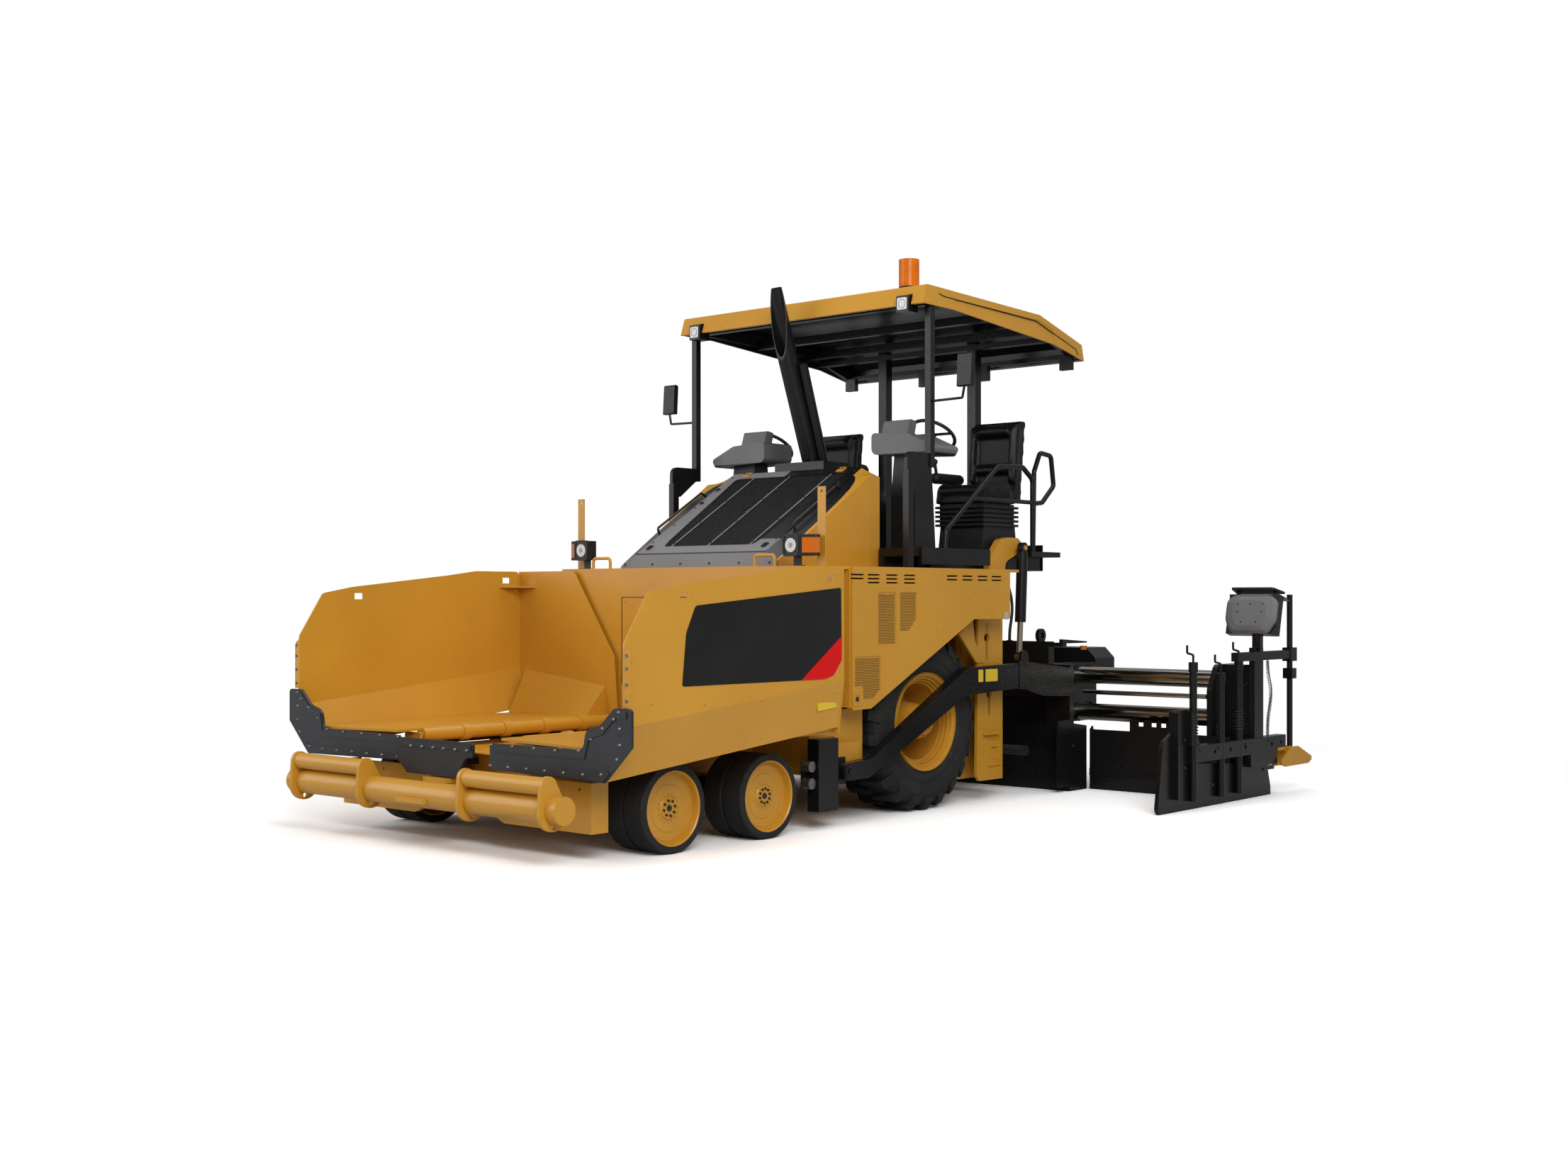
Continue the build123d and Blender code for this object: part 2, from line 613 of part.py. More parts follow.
roller_span = (push_bracket_x[0] + push_bracket_plate / 2, push_bracket_x[1] - push_bracket_plate / 2)
nodes["push_beam"] = push_beam()
roller = pin_x((roller_span[0] + 2, roller_span[1] - 2), roller_y, roller_z, roller_radius)
roller -= pin_x((roller_span[0], roller_span[1]), roller_y, roller_z, roller_pin_radius + pin_gap)
add_pair("push_roller", roller)


# Deck: top plate, wall behind the hopper, marker bars
def deck():
    front = front_wall_y
    rim = machine_half_width - skin
    half = deck_front_half
    top = flat_plate([(-half, front), (half, front), (rim, -991), (rim, deck_rear_y), (-rim, deck_rear_y),
                      (-rim, -991)], (deck_top - deck_plate, deck_top))
    wall = block((-half, half), (front, front + 14), (wing_hinge_z + 40, deck_top - 5))
    tunnel_mouth = block((-430, 430), (front - 5, front + 20), (0, tunnel_top + 60))
    cheek = side_plate([(front, 800), (-991, 790), (-991, deck_top - 5), (front, deck_top - 5)], (half - 12, half))
    ledge = block((half - 12, rim), (-1005, -991), (780, deck_top - 5))
    bar = block((marker_x[0], marker_x[1]), (marker_y, marker_y + 8), (deck_top - 5, marker_top))
    bar -= rod(((marker_x[0] + marker_x[1]) / 2, marker_y - 5, marker_top - 30),
               ((marker_x[0] + marker_x[1]) / 2, marker_y + 15, marker_top - 30), 9)
    handle = bent_pipe([(700, -1315, deck_top - 5), (700, -1315, 1790), (878, -1315, 1790), (878, -1315, deck_top - 5)],
                       11, 28)
    opening = block((850, lift_x - 10), (850, 1040), (deck_top - 30, deck_top + 5))
    return top + wall - tunnel_mouth + both(cheek + ledge + bar + handle) - both(opening)


nodes["deck"] = deck()


# Side skins: fixed louvred strip above, gull-wing service door below
panel_front_y = -991.0
panel_rear_y = 874.0
panel_fold_z = 1568.0
door_gap = 0.4
vent_depth = 5.0
vents = (
    [(-715, 1545), (-514, 1545), (-514, 1177), (-715, 1177)],
    [(-474, 1545), (-280, 1545), (-280, 1350), (-368, 1262), (-474, 1262)],
    [(-965, 1115), (-685, 1115), (-685, 882), (-768, 815), (-880, 815), (-880, 905), (-965, 905)])
double_louvres = (-930.0, 140.0, 330.0, 520.0, 700.0)
triple_louvres = (-760.0, -560.0, -360.0)


def side_strip():
    strip = block((machine_half_width - skin, machine_half_width), (panel_front_y, panel_rear_y),
                  (panel_fold_z + door_gap, deck_top - 2))
    for rows, places in ((2, double_louvres), (3, triple_louvres)):
        for y in places:
            for row in range(rows):
                strip -= slot_cut((machine_half_width - 40, machine_half_width + 5), y, 1660 - 26 * row, 130, 11)
    shelf = block((machine_half_width - 120, machine_half_width), (panel_front_y, panel_rear_y),
                  (panel_fold_z + door_gap, panel_fold_z + door_gap + 8))
    return strip + shelf


def service_door():
    outer = [(panel_front_y, panel_fold_z), (panel_rear_y, panel_fold_z), (panel_rear_y, 1348), (412, 1352),
             (277, 1286), (-789, 765), (panel_front_y, 762)]
    inner = [(panel_front_y + 14, panel_fold_z - 12), (panel_rear_y - 14, panel_fold_z - 12),
             (panel_rear_y - 14, 1361), (408, 1365), (271, 1299), (-794, 778), (panel_front_y + 14, 776)]
    shape = side_plate(outer, (machine_half_width - 45, machine_half_width), {2: 20, 3: 40, 4: 60, 5: 40, 6: 20})
    shape -= side_plate(inner, (machine_half_width - 50, machine_half_width - skin))
    for outline in vents:
        recess = {index: 18 for index in range(len(outline))}
        shape -= side_plate(outline, (machine_half_width - vent_depth, machine_half_width + 5), recess)
    latch = block((machine_half_width - 5, machine_half_width + 5), (-985, -900), (790, 880))
    latch -= block((machine_half_width + 1, machine_half_width + 6), (-968, -917), (806, 864))
    return shape + latch


nodes["side_strips"] = both(side_strip())
add_pair("service_door", service_door())


# Engine, cowl and hood lid
nodes["engine_block"] = block((-420, 420), (-900, -180), (tunnel_top + frame_plate + seat_gap, 1660))


def slope_point(x, along, out):
    # along: up the hood's slope from the lid's front edge; out: square to the slope
    return (x, lid_front_y + along * lid_cos - out * lid_sin, lid_front_z + along * lid_sin + out * lid_cos)


def slope_plate(outline, out_range, rounds={}):
    # outline: (x, along) corners on the hood's slope
    plane = Plane(origin=slope_point(0, 0, out_range[0]), x_dir=(1, 0, 0), z_dir=(0, -lid_sin, lid_cos))
    return extrude(plane * rounded(outline, rounds), amount=out_range[1] - out_range[0])


def lid_z(y):
    return lid_front_z + (y - lid_front_y) * lid_sin / lid_cos


def hood_section(y, half_side, side_z, inset):
    low = deck_top + seat_gap - (inset > 0) * 5
    pocket = lid_half + lid_side_gap
    top = lid_z(y) - lid_sink - inset * 2.6
    half = half_side - inset
    outline = [(-half, low), (half, low), (half, side_z - inset), (pocket, top), (-pocket, top),
               (-half, side_z - inset)]
    return cross_face(outline, y)


# Sections of the cowl along the hood: y, half width, height of the side plate's top edge
hood_stations = ((-1128.0, 747.0, 1763.0), (-190.0, 800.0, 2377.0), (hood_rear_y, 800.0, 2370.0))
lid_seams = (-360.0, 0.0, 400.0)
lid_length = math.hypot(lid_rear_y - lid_front_y, lid_rear_z - lid_front_z)
lid_sin = (lid_rear_z - lid_front_z) / lid_length
lid_cos = (lid_rear_y - lid_front_y) / lid_length


def engine_cowl():
    shell = None
    for front, rear in zip(hood_stations[:-1], hood_stations[1:]):
        piece = loft([hood_section(*front, 0), hood_section(*rear, 0)], ruled=True)
        shell = piece if shell is None else shell + piece
    pocket = lid_half + lid_side_gap
    front_foot = cross_face([(-742, deck_top + seat_gap), (742, deck_top + seat_gap), (742, 1731), (pocket, 1734),
                             (-pocket, 1734), (-742, 1731)], hood_foot_y)
    lip = loft([front_foot, hood_section(*hood_stations[0], 0)], ruled=True)
    first, second, third = hood_stations
    inner = loft([hood_section(first[0] + 22, *first[1:], 18), hood_section(*second[0:3], 18)], ruled=True)
    inner += loft([hood_section(*second, 18), hood_section(third[0] - 16, *third[1:], 18)], ruled=True)
    seat = slope_plate([(-pocket, -lid_side_gap), (pocket, -lid_side_gap), (pocket, lid_length + 300),
                        (-pocket, lid_length + 300)], (-lid_thickness - seat_gap, 200))
    window = slope_plate([(-540, 70), (540, 70), (540, lid_length - 70), (-540, lid_length - 70)], (-120, 5))
    shape = shell + lip - inner - seat - window
    low_rail, high_rail = 305.0, 891.0
    rail = bent_pipe([slope_point(660, low_rail, -16), slope_point(660, low_rail, 38),
                      slope_point(660, high_rail - 40, 38), slope_point(660, high_rail, -16)], 9, 22)
    return shape + both(rail)


def hood_lid():
    plate = slope_plate([(-lid_half, 0), (lid_half, 0), (lid_half, lid_length), (-lid_half, lid_length)],
                        (-lid_thickness, 0), {0: 12, 1: 12})
    mesh_outline = [(-431, 95), (431, 95), (458, 196), (540, 1137), (-540, 1137), (-458, 196)]
    recess = slope_plate(mesh_outline, (-lid_recess, 5), {0: 30, 1: 30, 3: 30, 4: 30})
    shape = plate - recess
    for x in lid_seams:
        shape += slope_plate([(x - 7, 98), (x + 7, 98), (x + 7, 1134), (x - 7, 1134)], (-lid_recess - 1, -2))
    handle = slope_plate([(-40, 590), (-16, 590), (-16, 640), (-40, 640)], (-lid_recess - 1, 22))
    latches = slope_plate([(540, 52), (580, 52), (580, 104), (540, 104)], (-3, 9), {0: 8, 1: 8, 2: 8, 3: 8})
    return shape + handle + both(latches)


nodes["engine_cowl"] = engine_cowl()
nodes["hood_lid"] = hood_lid()


# Exhaust stack: muffler box behind the hood, leaning pipe cut off at a slant
stack_foot = (0.0, 125.0, 2500.0)
stack_tip = (0.0, -350.0, 3775.0)


def exhaust_stack():
    muffler = block((-240, 240), (hood_rear_y + 45, 260), (deck_top + seat_gap, 2520))
    pipe = rod(stack_foot, stack_tip, stack_radius)
    hollow = rod((0, 60, 2675), (0, -400, 3910), stack_radius - stack_wall)
    slash = side_plate([(-520, 3250), (-238, 3250), (-300, 3800), (-520, 3900)], (-200, 200))
    side_pipe = rod((105, 140, 2480), (105, -120, 3240), 34)
    joint = block((60, 110), (-70, -50), (3000, 3030))
    return muffler + (pipe - hollow - slash) + side_pipe + joint


nodes["exhaust_stack"] = exhaust_stack()


# Operator's platform, consoles, seats
def platform():
    base = deck_top + seat_gap
    front_y = 275.0
    floor = flat_plate([(-platform_half, front_y), (platform_half, front_y), (platform_half, 725),
                        (1000, 725), (1000, 1340), (1160, 1340), (1160, 1750), (-1160, 1750),
                        (-1160, 1340), (-1000, 1340), (-1000, 725), (-platform_half, 725)],
                       (platform_top - 40, platform_top))
    bearer = both(block((930, 990), (front_y, 1740), (base, platform_top - 30)))
    bearer += both(block((300, 360), (front_y, 1740), (base, platform_top - 30)))
    fascia = both(block((platform_half - 14, platform_half), (-120, 725), (base + 26, platform_top)))
    fascia += both(block((820, platform_half), (-120, front_y + 10), (base + 85, platform_top)))
    fascia += both(block((820, 860), (-120, front_y + 10), (base, platform_top)))
    toe = block((-1000, 1000), (1738, 1750), (base, platform_top + 60))
    guide = block((380, 760), (1690, hose_start[1] - hose_gland), (1775, platform_top - 30))
    guide += rod((hose_start[0], 1750, hose_start[2]), hose_start, hose_gland_radius)
    return floor + bearer + fascia + toe + both(guide)


def console():
    base = platform_top + seat_gap
    pedestal = side_plate([(console_y - 130, base), (console_y + 120, base), (console_y + 90, 2250),
                           (console_y + 60, 2560), (console_y - 90, 2560), (console_y - 130, 2250)],
                          (station_x - 110, station_x + 110), {2: 120, 5: 120})
    body = cross_plate([(station_x - 270, 2560), (station_x + 250, 2540), (station_x + 290, 2600),
                        (station_x + 60, 2700), (station_x - 270, 2720)], (console_y - 160, console_y + 170),
                       {0: 50, 1: 30, 2: 25, 3: 60, 4: 30})
    display = side_plate([(console_y - 110, 2690), (console_y - 20, 2690), (console_y + 10, 2800),
                          (console_y - 70, 2815)], (station_x - 220, station_x + 20), {2: 12, 3: 20})
    column = rod((station_x, console_y + 120, 2560), (station_x, console_y + 215, 2700), 20)
    wheel = Plane(origin=(station_x, console_y + 240, 2720), z_dir=(0, 0.56, 0.83)) * Torus(170, 13)
    spokes = rod((station_x - 165, console_y + 240, 2720), (station_x + 165, console_y + 240, 2720), 10)
    spokes += rod((station_x, console_y + 210, 2675), (station_x, console_y + 245, 2724), 26)
    return pedestal + body + display + column + wheel + spokes


armrest_out = 250.0


def seat_pedestal():
    base = platform_top + seat_gap
    foot = side_plate([(seat_y - 230, base), (seat_y + 250, base), (seat_y + 220, 2050), (seat_y - 200, 2050)],
                      (station_x - 200, station_x + 200))
    shape = foot
    for index in range(5):
        z = 2050 + 34 * index
        shape += block((station_x - 225, station_x + 225), (seat_y - 235, seat_y + 235), (z, z + 18))
        shape += block((station_x - 200, station_x + 200), (seat_y - 210, seat_y + 210), (z + 17, z + 35))
    rest_x = station_x - armrest_out
    stay = side_plate([(seat_y + 20, 2190), (seat_y + 110, 2190), (seat_y + 70, 2400), (seat_y + 10, 2400)],
                      (rest_x - 12, rest_x + 12))
    stay += block((rest_x - 12, station_x - 195), (seat_y + 20, seat_y + 110), (2190, 2215))
    pad = rod((rest_x, seat_y - 200, 2425), (rest_x, seat_y + 110, 2425), 42)
    pad += Pos(rest_x, seat_y - 200, 2425) * Sphere(42)
    pad += Pos(rest_x, seat_y + 110, 2425) * Sphere(42)
    lever = rod((rest_x, seat_y - 180, 2440), (rest_x, seat_y - 205, 2540), 12)
    lever += Pos(rest_x, seat_y - 208, 2552) * Sphere(24)
    return shape + stay + pad + lever


def seat_cushions():
    low = 2050 + 34 * 4 + 35 + seat_gap
    cushion = side_plate([(seat_y - 250, low), (seat_y + 200, low), (seat_y + 200, low + 110),
                          (seat_y - 230, low + 135)], (station_x - 235, station_x + 235), {2: 30, 3: 40})
    back = side_plate([(seat_y + 205, low), (seat_y + 290, low), (seat_y + 360, 2890), (seat_y + 260, 2890)],
                      (station_x - 225, station_x + 225), {2: 30, 3: 40})
    return cushion, back


nodes["platform"] = platform()
nodes["consoles"] = both(console())
nodes["seat_pedestals"] = both(seat_pedestal())
seat_pad, seat_back = seat_cushions()
nodes["seat_cushions"] = both(seat_pad)
nodes["seat_backs"] = both(seat_back)


# Canopy: roof shell on four posts, mirrors on the front posts
canopy_outer = [(-95, 3580), (-50, 3718), (1415, 3675), (2022, 3511), (2056, 3386), (1622, 3472), (268, 3577)]


def canopy_roof():
    shell = side_plate(canopy_outer, (-canopy_half, canopy_half), {1: 18, 2: 120, 3: 14})
    inner = [(-75, 3450), (-38, 3700), (1411, 3657), (2004, 3496), (2034, 3300)]
    shell -= side_plate(inner, (-canopy_half + canopy_skin, canopy_half - canopy_skin))
    seam = side_plate([(268, 3584), (285, 3654), (1403, 3631), (1602, 3585), (1634, 3482)],
                      (canopy_half - 4, canopy_half + 5))
    notch = block((955, 1085), (-150, -20), (3450, 3655))
    return shell - both(seam + notch)


def canopy_frame():
    half = post_size / 2
    roof_low = 3640.0
    liner = canopy_half - canopy_skin - seat_gap
    upper = block((liner - post_size, liner), (front_post_y - half, front_post_y + half), (2430, roof_low))
    knee = side_plate([(-240, 2300), (-240, 2530), (front_post_y + half, 2530), (front_post_y + half, 2460),
                       (-150, 2300)], (liner - 40, liner - 10), {1: 60})
    lower = block((liner - post_size, liner), (-240, -180), (deck_top + seat_gap, 2400))
    rear = block((rear_post_x - 40, rear_post_x + 40), (rear_post_y - 40, rear_post_y + 40),
                 (platform_top + seat_gap, 3560))
    arm = bent_pipe([(liner - 20, front_post_y, 2900), (1430, front_post_y, 2905), (1450, front_post_y, 3000)], 9, 12)
    head = side_plate([(front_post_y - 15, 2985), (front_post_y + 30, 2985), (front_post_y + 42, 3215),
                       (front_post_y, 3225)], (1390, 1510), {0: 10, 2: 14, 3: 14})
    side_rail = side_plate([(-40, 3600), (-40, 3650), (1430, 3608), (1985, 3455), (1985, 3400), (1430, 3556)],
                           (liner - 60, liner))
    bars = []
    for y, z in ((0, 3640), (760, 3615), (1400, 3596)):
        bars.append(block((-liner, liner), (y, y + 60), (z - 60, z)))
    bars.append(block((-liner, liner), (1945, 1983), (3402, 3440)))
    front_lamp = block((967, 1074), (-112, 4), (3530, 3645))
    rear_lamp = block((1040, 1145), (1925, 1972), (3312, 3418))
    rear_lamp += block((250, 350), (1925, 1972), (3290, 3410))
    shape = both(upper + knee + lower + rear + arm + head + side_rail + front_lamp + rear_lamp)
    shape += block((-liner, liner), (rear_post_y - 40, rear_post_y + 40), (3490, 3530))
    for bar in bars:
        shape += bar
    return shape


nodes["canopy_roof"] = canopy_roof()
nodes["canopy_frame"] = canopy_frame()


# Handrails
def handrails():
    x = 1130.0
    loop = [(x, 250, platform_top - 5), (x, 265, 1990), (x, 931, 2493), (x, 1261, 2502), (x, 1400, 2415),
            (x, 1400, platform_top - 5)]
    side = bent_pipe(loop, rail_radius, 60)
    side += rod((x, 590, 2237), (x, 1400, 2237), rail_radius - 3)
    rear = bent_pipe([(940, 1700, platform_top - 5), (940, 1715, 2500), (940, 1800, 2655), (940, 1960, 2640),
                      (940, 2000, 2400), (940, 1830, 2260), (940, 1722, 2250)], rail_radius, 40)
    return side + rear


nodes["handrails"] = both(handrails() - block((0, 2000), (0, 2500), (0, platform_top + seat_gap)))


# Lamps on the deck's front corners
lamp_low = 1782.0
lamp_high = 1922.0


def front_lamps():
    body = flat_plate([(949, -1313), (1079, -1313), (1190, -1252), (1190, -1212), (1060, -1188), (960, -1200)],
                      (lamp_low, lamp_high), {0: 14, 2: 20, 3: 16, 4: 30, 5: 30})
    bezel = cross_plate([(945, lamp_low - 4), (1083, lamp_low - 4), (1083, lamp_high + 4), (945, lamp_high + 4)],
                        (-1317, -1296), {0: 26, 1: 26, 2: 26, 3: 26})
    bezel -= cross_plate([(957, lamp_low + 8), (1071, lamp_low + 8), (1071, lamp_high - 8), (957, lamp_high - 8)],
                         (-1320, -1310), {0: 20, 1: 20, 2: 20, 3: 20})
    stand = block((985, 1050), (-1248, -1240), (deck_top + seat_gap, lamp_low + 5))
    foot = flat_plate([(975, -1290), (1062, -1290), (1062, -1210), (975, -1210)],
                      (deck_top + seat_gap, deck_top + seat_gap + 6), {0: 12, 1: 12, 2: 12, 3: 12})
    return body + bezel + stand + foot


nodes["front_lamps"] = both(front_lamps())


def roof_top(y):
    (front_y, front_z), (rear_y, rear_z) = canopy_outer[1:3]
    return front_z + (rear_z - front_z) * (y - front_y) / (rear_y - front_y)


# Flashing beacon, standing on the left of the roof
beacon_x = 900.0
beacon_y = 130.0
beacon_radius = 74.0
beacon_height = 232.0
beacon_foot = roof_top(beacon_y - beacon_radius) + seat_gap
nodes["beacon"] = Pos(beacon_x, beacon_y, beacon_foot) * Cylinder(
    beacon_radius, beacon_height, align=(Align.CENTER, Align.CENTER, Align.MIN))


# Tow point guides in front of the tow arms
def tow_guide():
    mount_x = tank_outer_x + seat_gap
    rail = block((mount_x, arm_outer_x), (-1330, -1080), (120, 590))
    rail -= block((mount_x + 22, arm_outer_x + 5), (-1130, -1075), (100, 600))
    mount = block((mount_x, mount_x + 12), (-1400, tow_pivot_y + 50), (270, 450))
    pin = pin_x((mount_x, arm_outer_x + 14), tow_pivot_y, tow_pivot_z, tow_pin_radius)
    rollers = pin_x((mount_x + 10, arm_outer_x - 20), -1372, 416, 36)
    rollers += pin_x((mount_x + 10, arm_outer_x - 20), -1372, 306, 36)
    return rail + mount + pin + rollers


nodes["tow_guides"] = both(tow_guide())


# Screed assembly: tow arms, main screed, extensions, end gates
arm_side_gap = 2.0
end_plate_y = 1548.0
bearing_rear_y = tube_row_y[1] + tube_radius + 40
mid_rod_y = 2000.0
mid_rod_z = 762.0
mid_rod_radius = 18.0
mid_rod_inner_x = 1224.0


def tow_arm():
    outline = [(-1065, 300), (-801, 302), (319, 805), (1035, 832), (1330, 760), (screed_front_y, 741),
               (screed_front_y, 962), (1350, 1000), (1200, 1016), (339, 1003), (-776, 429), (-1065, 412)]
    arm = side_plate(outline, (arm_inner_x + arm_side_gap, arm_outer_x),
                     {0: 45, 1: 150, 2: 160, 3: 100, 8: 60, 9: 220, 10: 150, 11: 45})
    arm += block((arm_outer_x - 5, arm_outer_x + 4), (1002, 1117), (822, 1031))
    arm += pin_x((arm_outer_x - 5, arm_outer_x + 5), tow_pivot_y, tow_pivot_z, 52)
    arm -= pin_x((arm_inner_x - 5, arm_outer_x + 10), tow_pivot_y, tow_pivot_z, tow_pin_radius + pin_gap)
    lug = side_plate([(lift_foot_y - 70, 900), (lift_foot_y + 70, 900), (lift_foot_y + 40, lift_foot_z + 45),
                      (lift_foot_y - 40, lift_foot_z + 45)],
                     (lift_x + lift_eye_width / 2 + 3, arm_inner_x + arm_side_gap + 2), {2: 35, 3: 35})
    pin = pin_x((lift_x - lift_eye_width / 2 - 4, arm_inner_x + 5), lift_foot_y, lift_foot_z, foot_pin_radius)
    return arm + lug + pin


def screed_main():
    front = screed_front_y + seat_gap
    rear = screed_front_y + screed_depth
    body = side_plate([(front, 0), (rear, 0), (rear, screed_body_top), (front + 30, screed_body_top + 30),
                       (front, screed_body_top)], (-screed_half, screed_half))
    body -= block((-screed_half + 40, screed_half - 40), (front + 14, rear - 14), (24, screed_body_top - 20))
    wings = side_plate([(end_plate_y, 40), (front + 10, 40), (front + 10, 556), (end_plate_y, 556)],
                       (screed_half - 16, screed_half), {0: 20, 3: 30})
    shoulders = both(block((arm_inner_x - 150, arm_outer_x - 2), (front, front + 60), (screed_body_top - 5, 985)))
    spine = block((-screed_frame_half, screed_frame_half), (front + 40, front + 120), (screed_body_top - 5, screed_frame_top))
    spine += block((-arm_inner_x, arm_inner_x), (front, front + 60), (720, 960))
    shape = body + both(wings) + shoulders + spine
    for x in bearing_x:
        low = tube_lower_z - tube_radius - 12
        high = tube_upper_z + tube_radius + 30
        outline = [(front + 110, low + 65), (2060, low + 65), (2105, low), (bearing_rear_y, low),
                   (bearing_rear_y, high), (front + 110, high)]
        bearing = side_plate(outline, (x - bearing_width / 2, x + bearing_width / 2), {3: 60, 4: 60})
        for y in tube_row_y:
            for z in (tube_upper_z, tube_lower_z):
                bearing += pin_x((x + bearing_width / 2 - 5, x + bearing_width / 2 + 6), y, z, tube_radius + 14)
        shape += both(bearing)
    for y in tube_row_y:
        for z in (tube_upper_z, tube_lower_z):
            shape -= pin_x((-1200, 1200), y, z, tube_radius + slide_gap)
    shape -= pin_x((-1200, 1200), mid_rod_y, mid_rod_z, mid_rod_radius + slide_gap)
    cover = cross_plate([(-1045, 925), (1045, 925), (1045, 1010), (960, 1095), (-960, 1095), (-1045, 1010)],
                        (tube_row_y[1] + tube_radius + 30, tube_row_y[1] + 400))
    eye_mid = front + 120
    eye_z = screed_frame_top + 45
    eyes = pin_x((910, 940), eye_mid, eye_z, 55) + block((910, 940), (eye_mid - 40, eye_mid + 40), (screed_frame_top - 5, eye_z))
    eyes -= pin_x((900, 950), eye_mid, eye_z, 24)
    glands = rod((hose_end[0], hose_end[1], screed_frame_top - 5), hose_end, hose_gland_radius)
    shelf = block((screed_frame_half - 10, 1165), (front + 60, front + 120), (1120, 1152))
    shelf += side_plate([(front + 60, 1146), (2140, 1146), (2140, 1158), (front + 60, 1180)], (1135, 1165))
    return shape + cover + both(eyes + glands + shelf)


nodes["tow_arms"] = both(tow_arm())
nodes["screed_main"] = screed_main()


def extension(row_y):
    # the tubes sit in the row at row_y, so that the two sides' tubes pass each other
    inner = extension_inner_x
    outer = extension_outer_x
    mold = block((inner, outer), (extension_front_y, extension_front_y + 16), (0, moldboard_top))
    ledge = side_plate([(extension_front_y - 7, 112), (extension_front_y + 4, 107), (extension_front_y + 4, 170),
                        (extension_front_y - 3, 166)], (inner, outer))
    comb = block((1640, 2000), (extension_front_y + 4, extension_front_y + 14), (moldboard_top - 5, 560))
    for x in (1737, 1849, 1931):
        comb -= block((x - 22, x + 22), (extension_front_y, extension_front_y + 20), (512, 561))
    end_plate = side_plate([(extension_front_y, 20), (extension_front_y + 101, 25), (extension_front_y + 33, 495),
                            (extension_front_y, moldboard_top)], (inner, inner + 14))
    shoe = block((inner, outer), (extension_front_y, extension_front_y + 420), (0, 90))
    frame = block((inner + 20, outer), (extension_front_y + 60, extension_front_y + 100), (80, 420))
    frame += block((inner + 20, outer), (extension_front_y + 330, extension_front_y + 370), (80, 420))
    step = block((inner + 60, outer), (extension_front_y + 420 - 5, extension_rear_y + 130), (180, 210))
    step += block((inner + 60, outer), (extension_front_y + 365, extension_front_y + 425), (85, 210))
    carriage = side_plate([(extension_front_y + 10, 80), (tube_row_y[1] + 110, 80),
                           (tube_row_y[1] + 110, tube_upper_z + tube_radius + 50),
                           (extension_front_y + 120, tube_upper_z + tube_radius + 50), (extension_front_y + 10, 820)],
                          (carriage_x, carriage_x + carriage_plate), {2: 60, 3: 60, 4: 60})
    carriage += block((carriage_x + carriage_plate - 5, gate_inner_x - slide_gap), (2180, 2300), (90, 1000))
    shape = mold + ledge + comb + end_plate + shoe + frame + step + carriage
    tube_end = bearing_x[0] - bearing_width / 2 - 20
    for z in (tube_upper_z, tube_lower_z):
        shape += pin_x((tube_end, carriage_x + 5), row_y, z, tube_radius)
        shape += pin_x((carriage_x - 6, carriage_x + 5), row_y, z, tube_radius + 16)
    return shape + pin_x((mid_rod_inner_x, carriage_x + 5), mid_rod_y, mid_rod_z, mid_rod_radius)


nodes["extension_left"] = extension(tube_row_y[0])
nodes["extension_right"] = mirrored(extension(tube_row_y[1]))


# Height-setting posts of the end gate: y, top of the tube, top of the crank
gate_posts = ((1278.0, 1040.0, 1140.0), (1697.0, 950.0, 1065.0), (1980.0, 1030.0, 1150.0))


def edge_flanges(x, front, rear, top):
    # two flanges folded outwards along a board's front and rear edges
    flange = block((x - 5, x + 42), (front - 12, front), (90, top))
    return flange + block((x - 5, x + 42), (rear, rear + 12), (455, top))


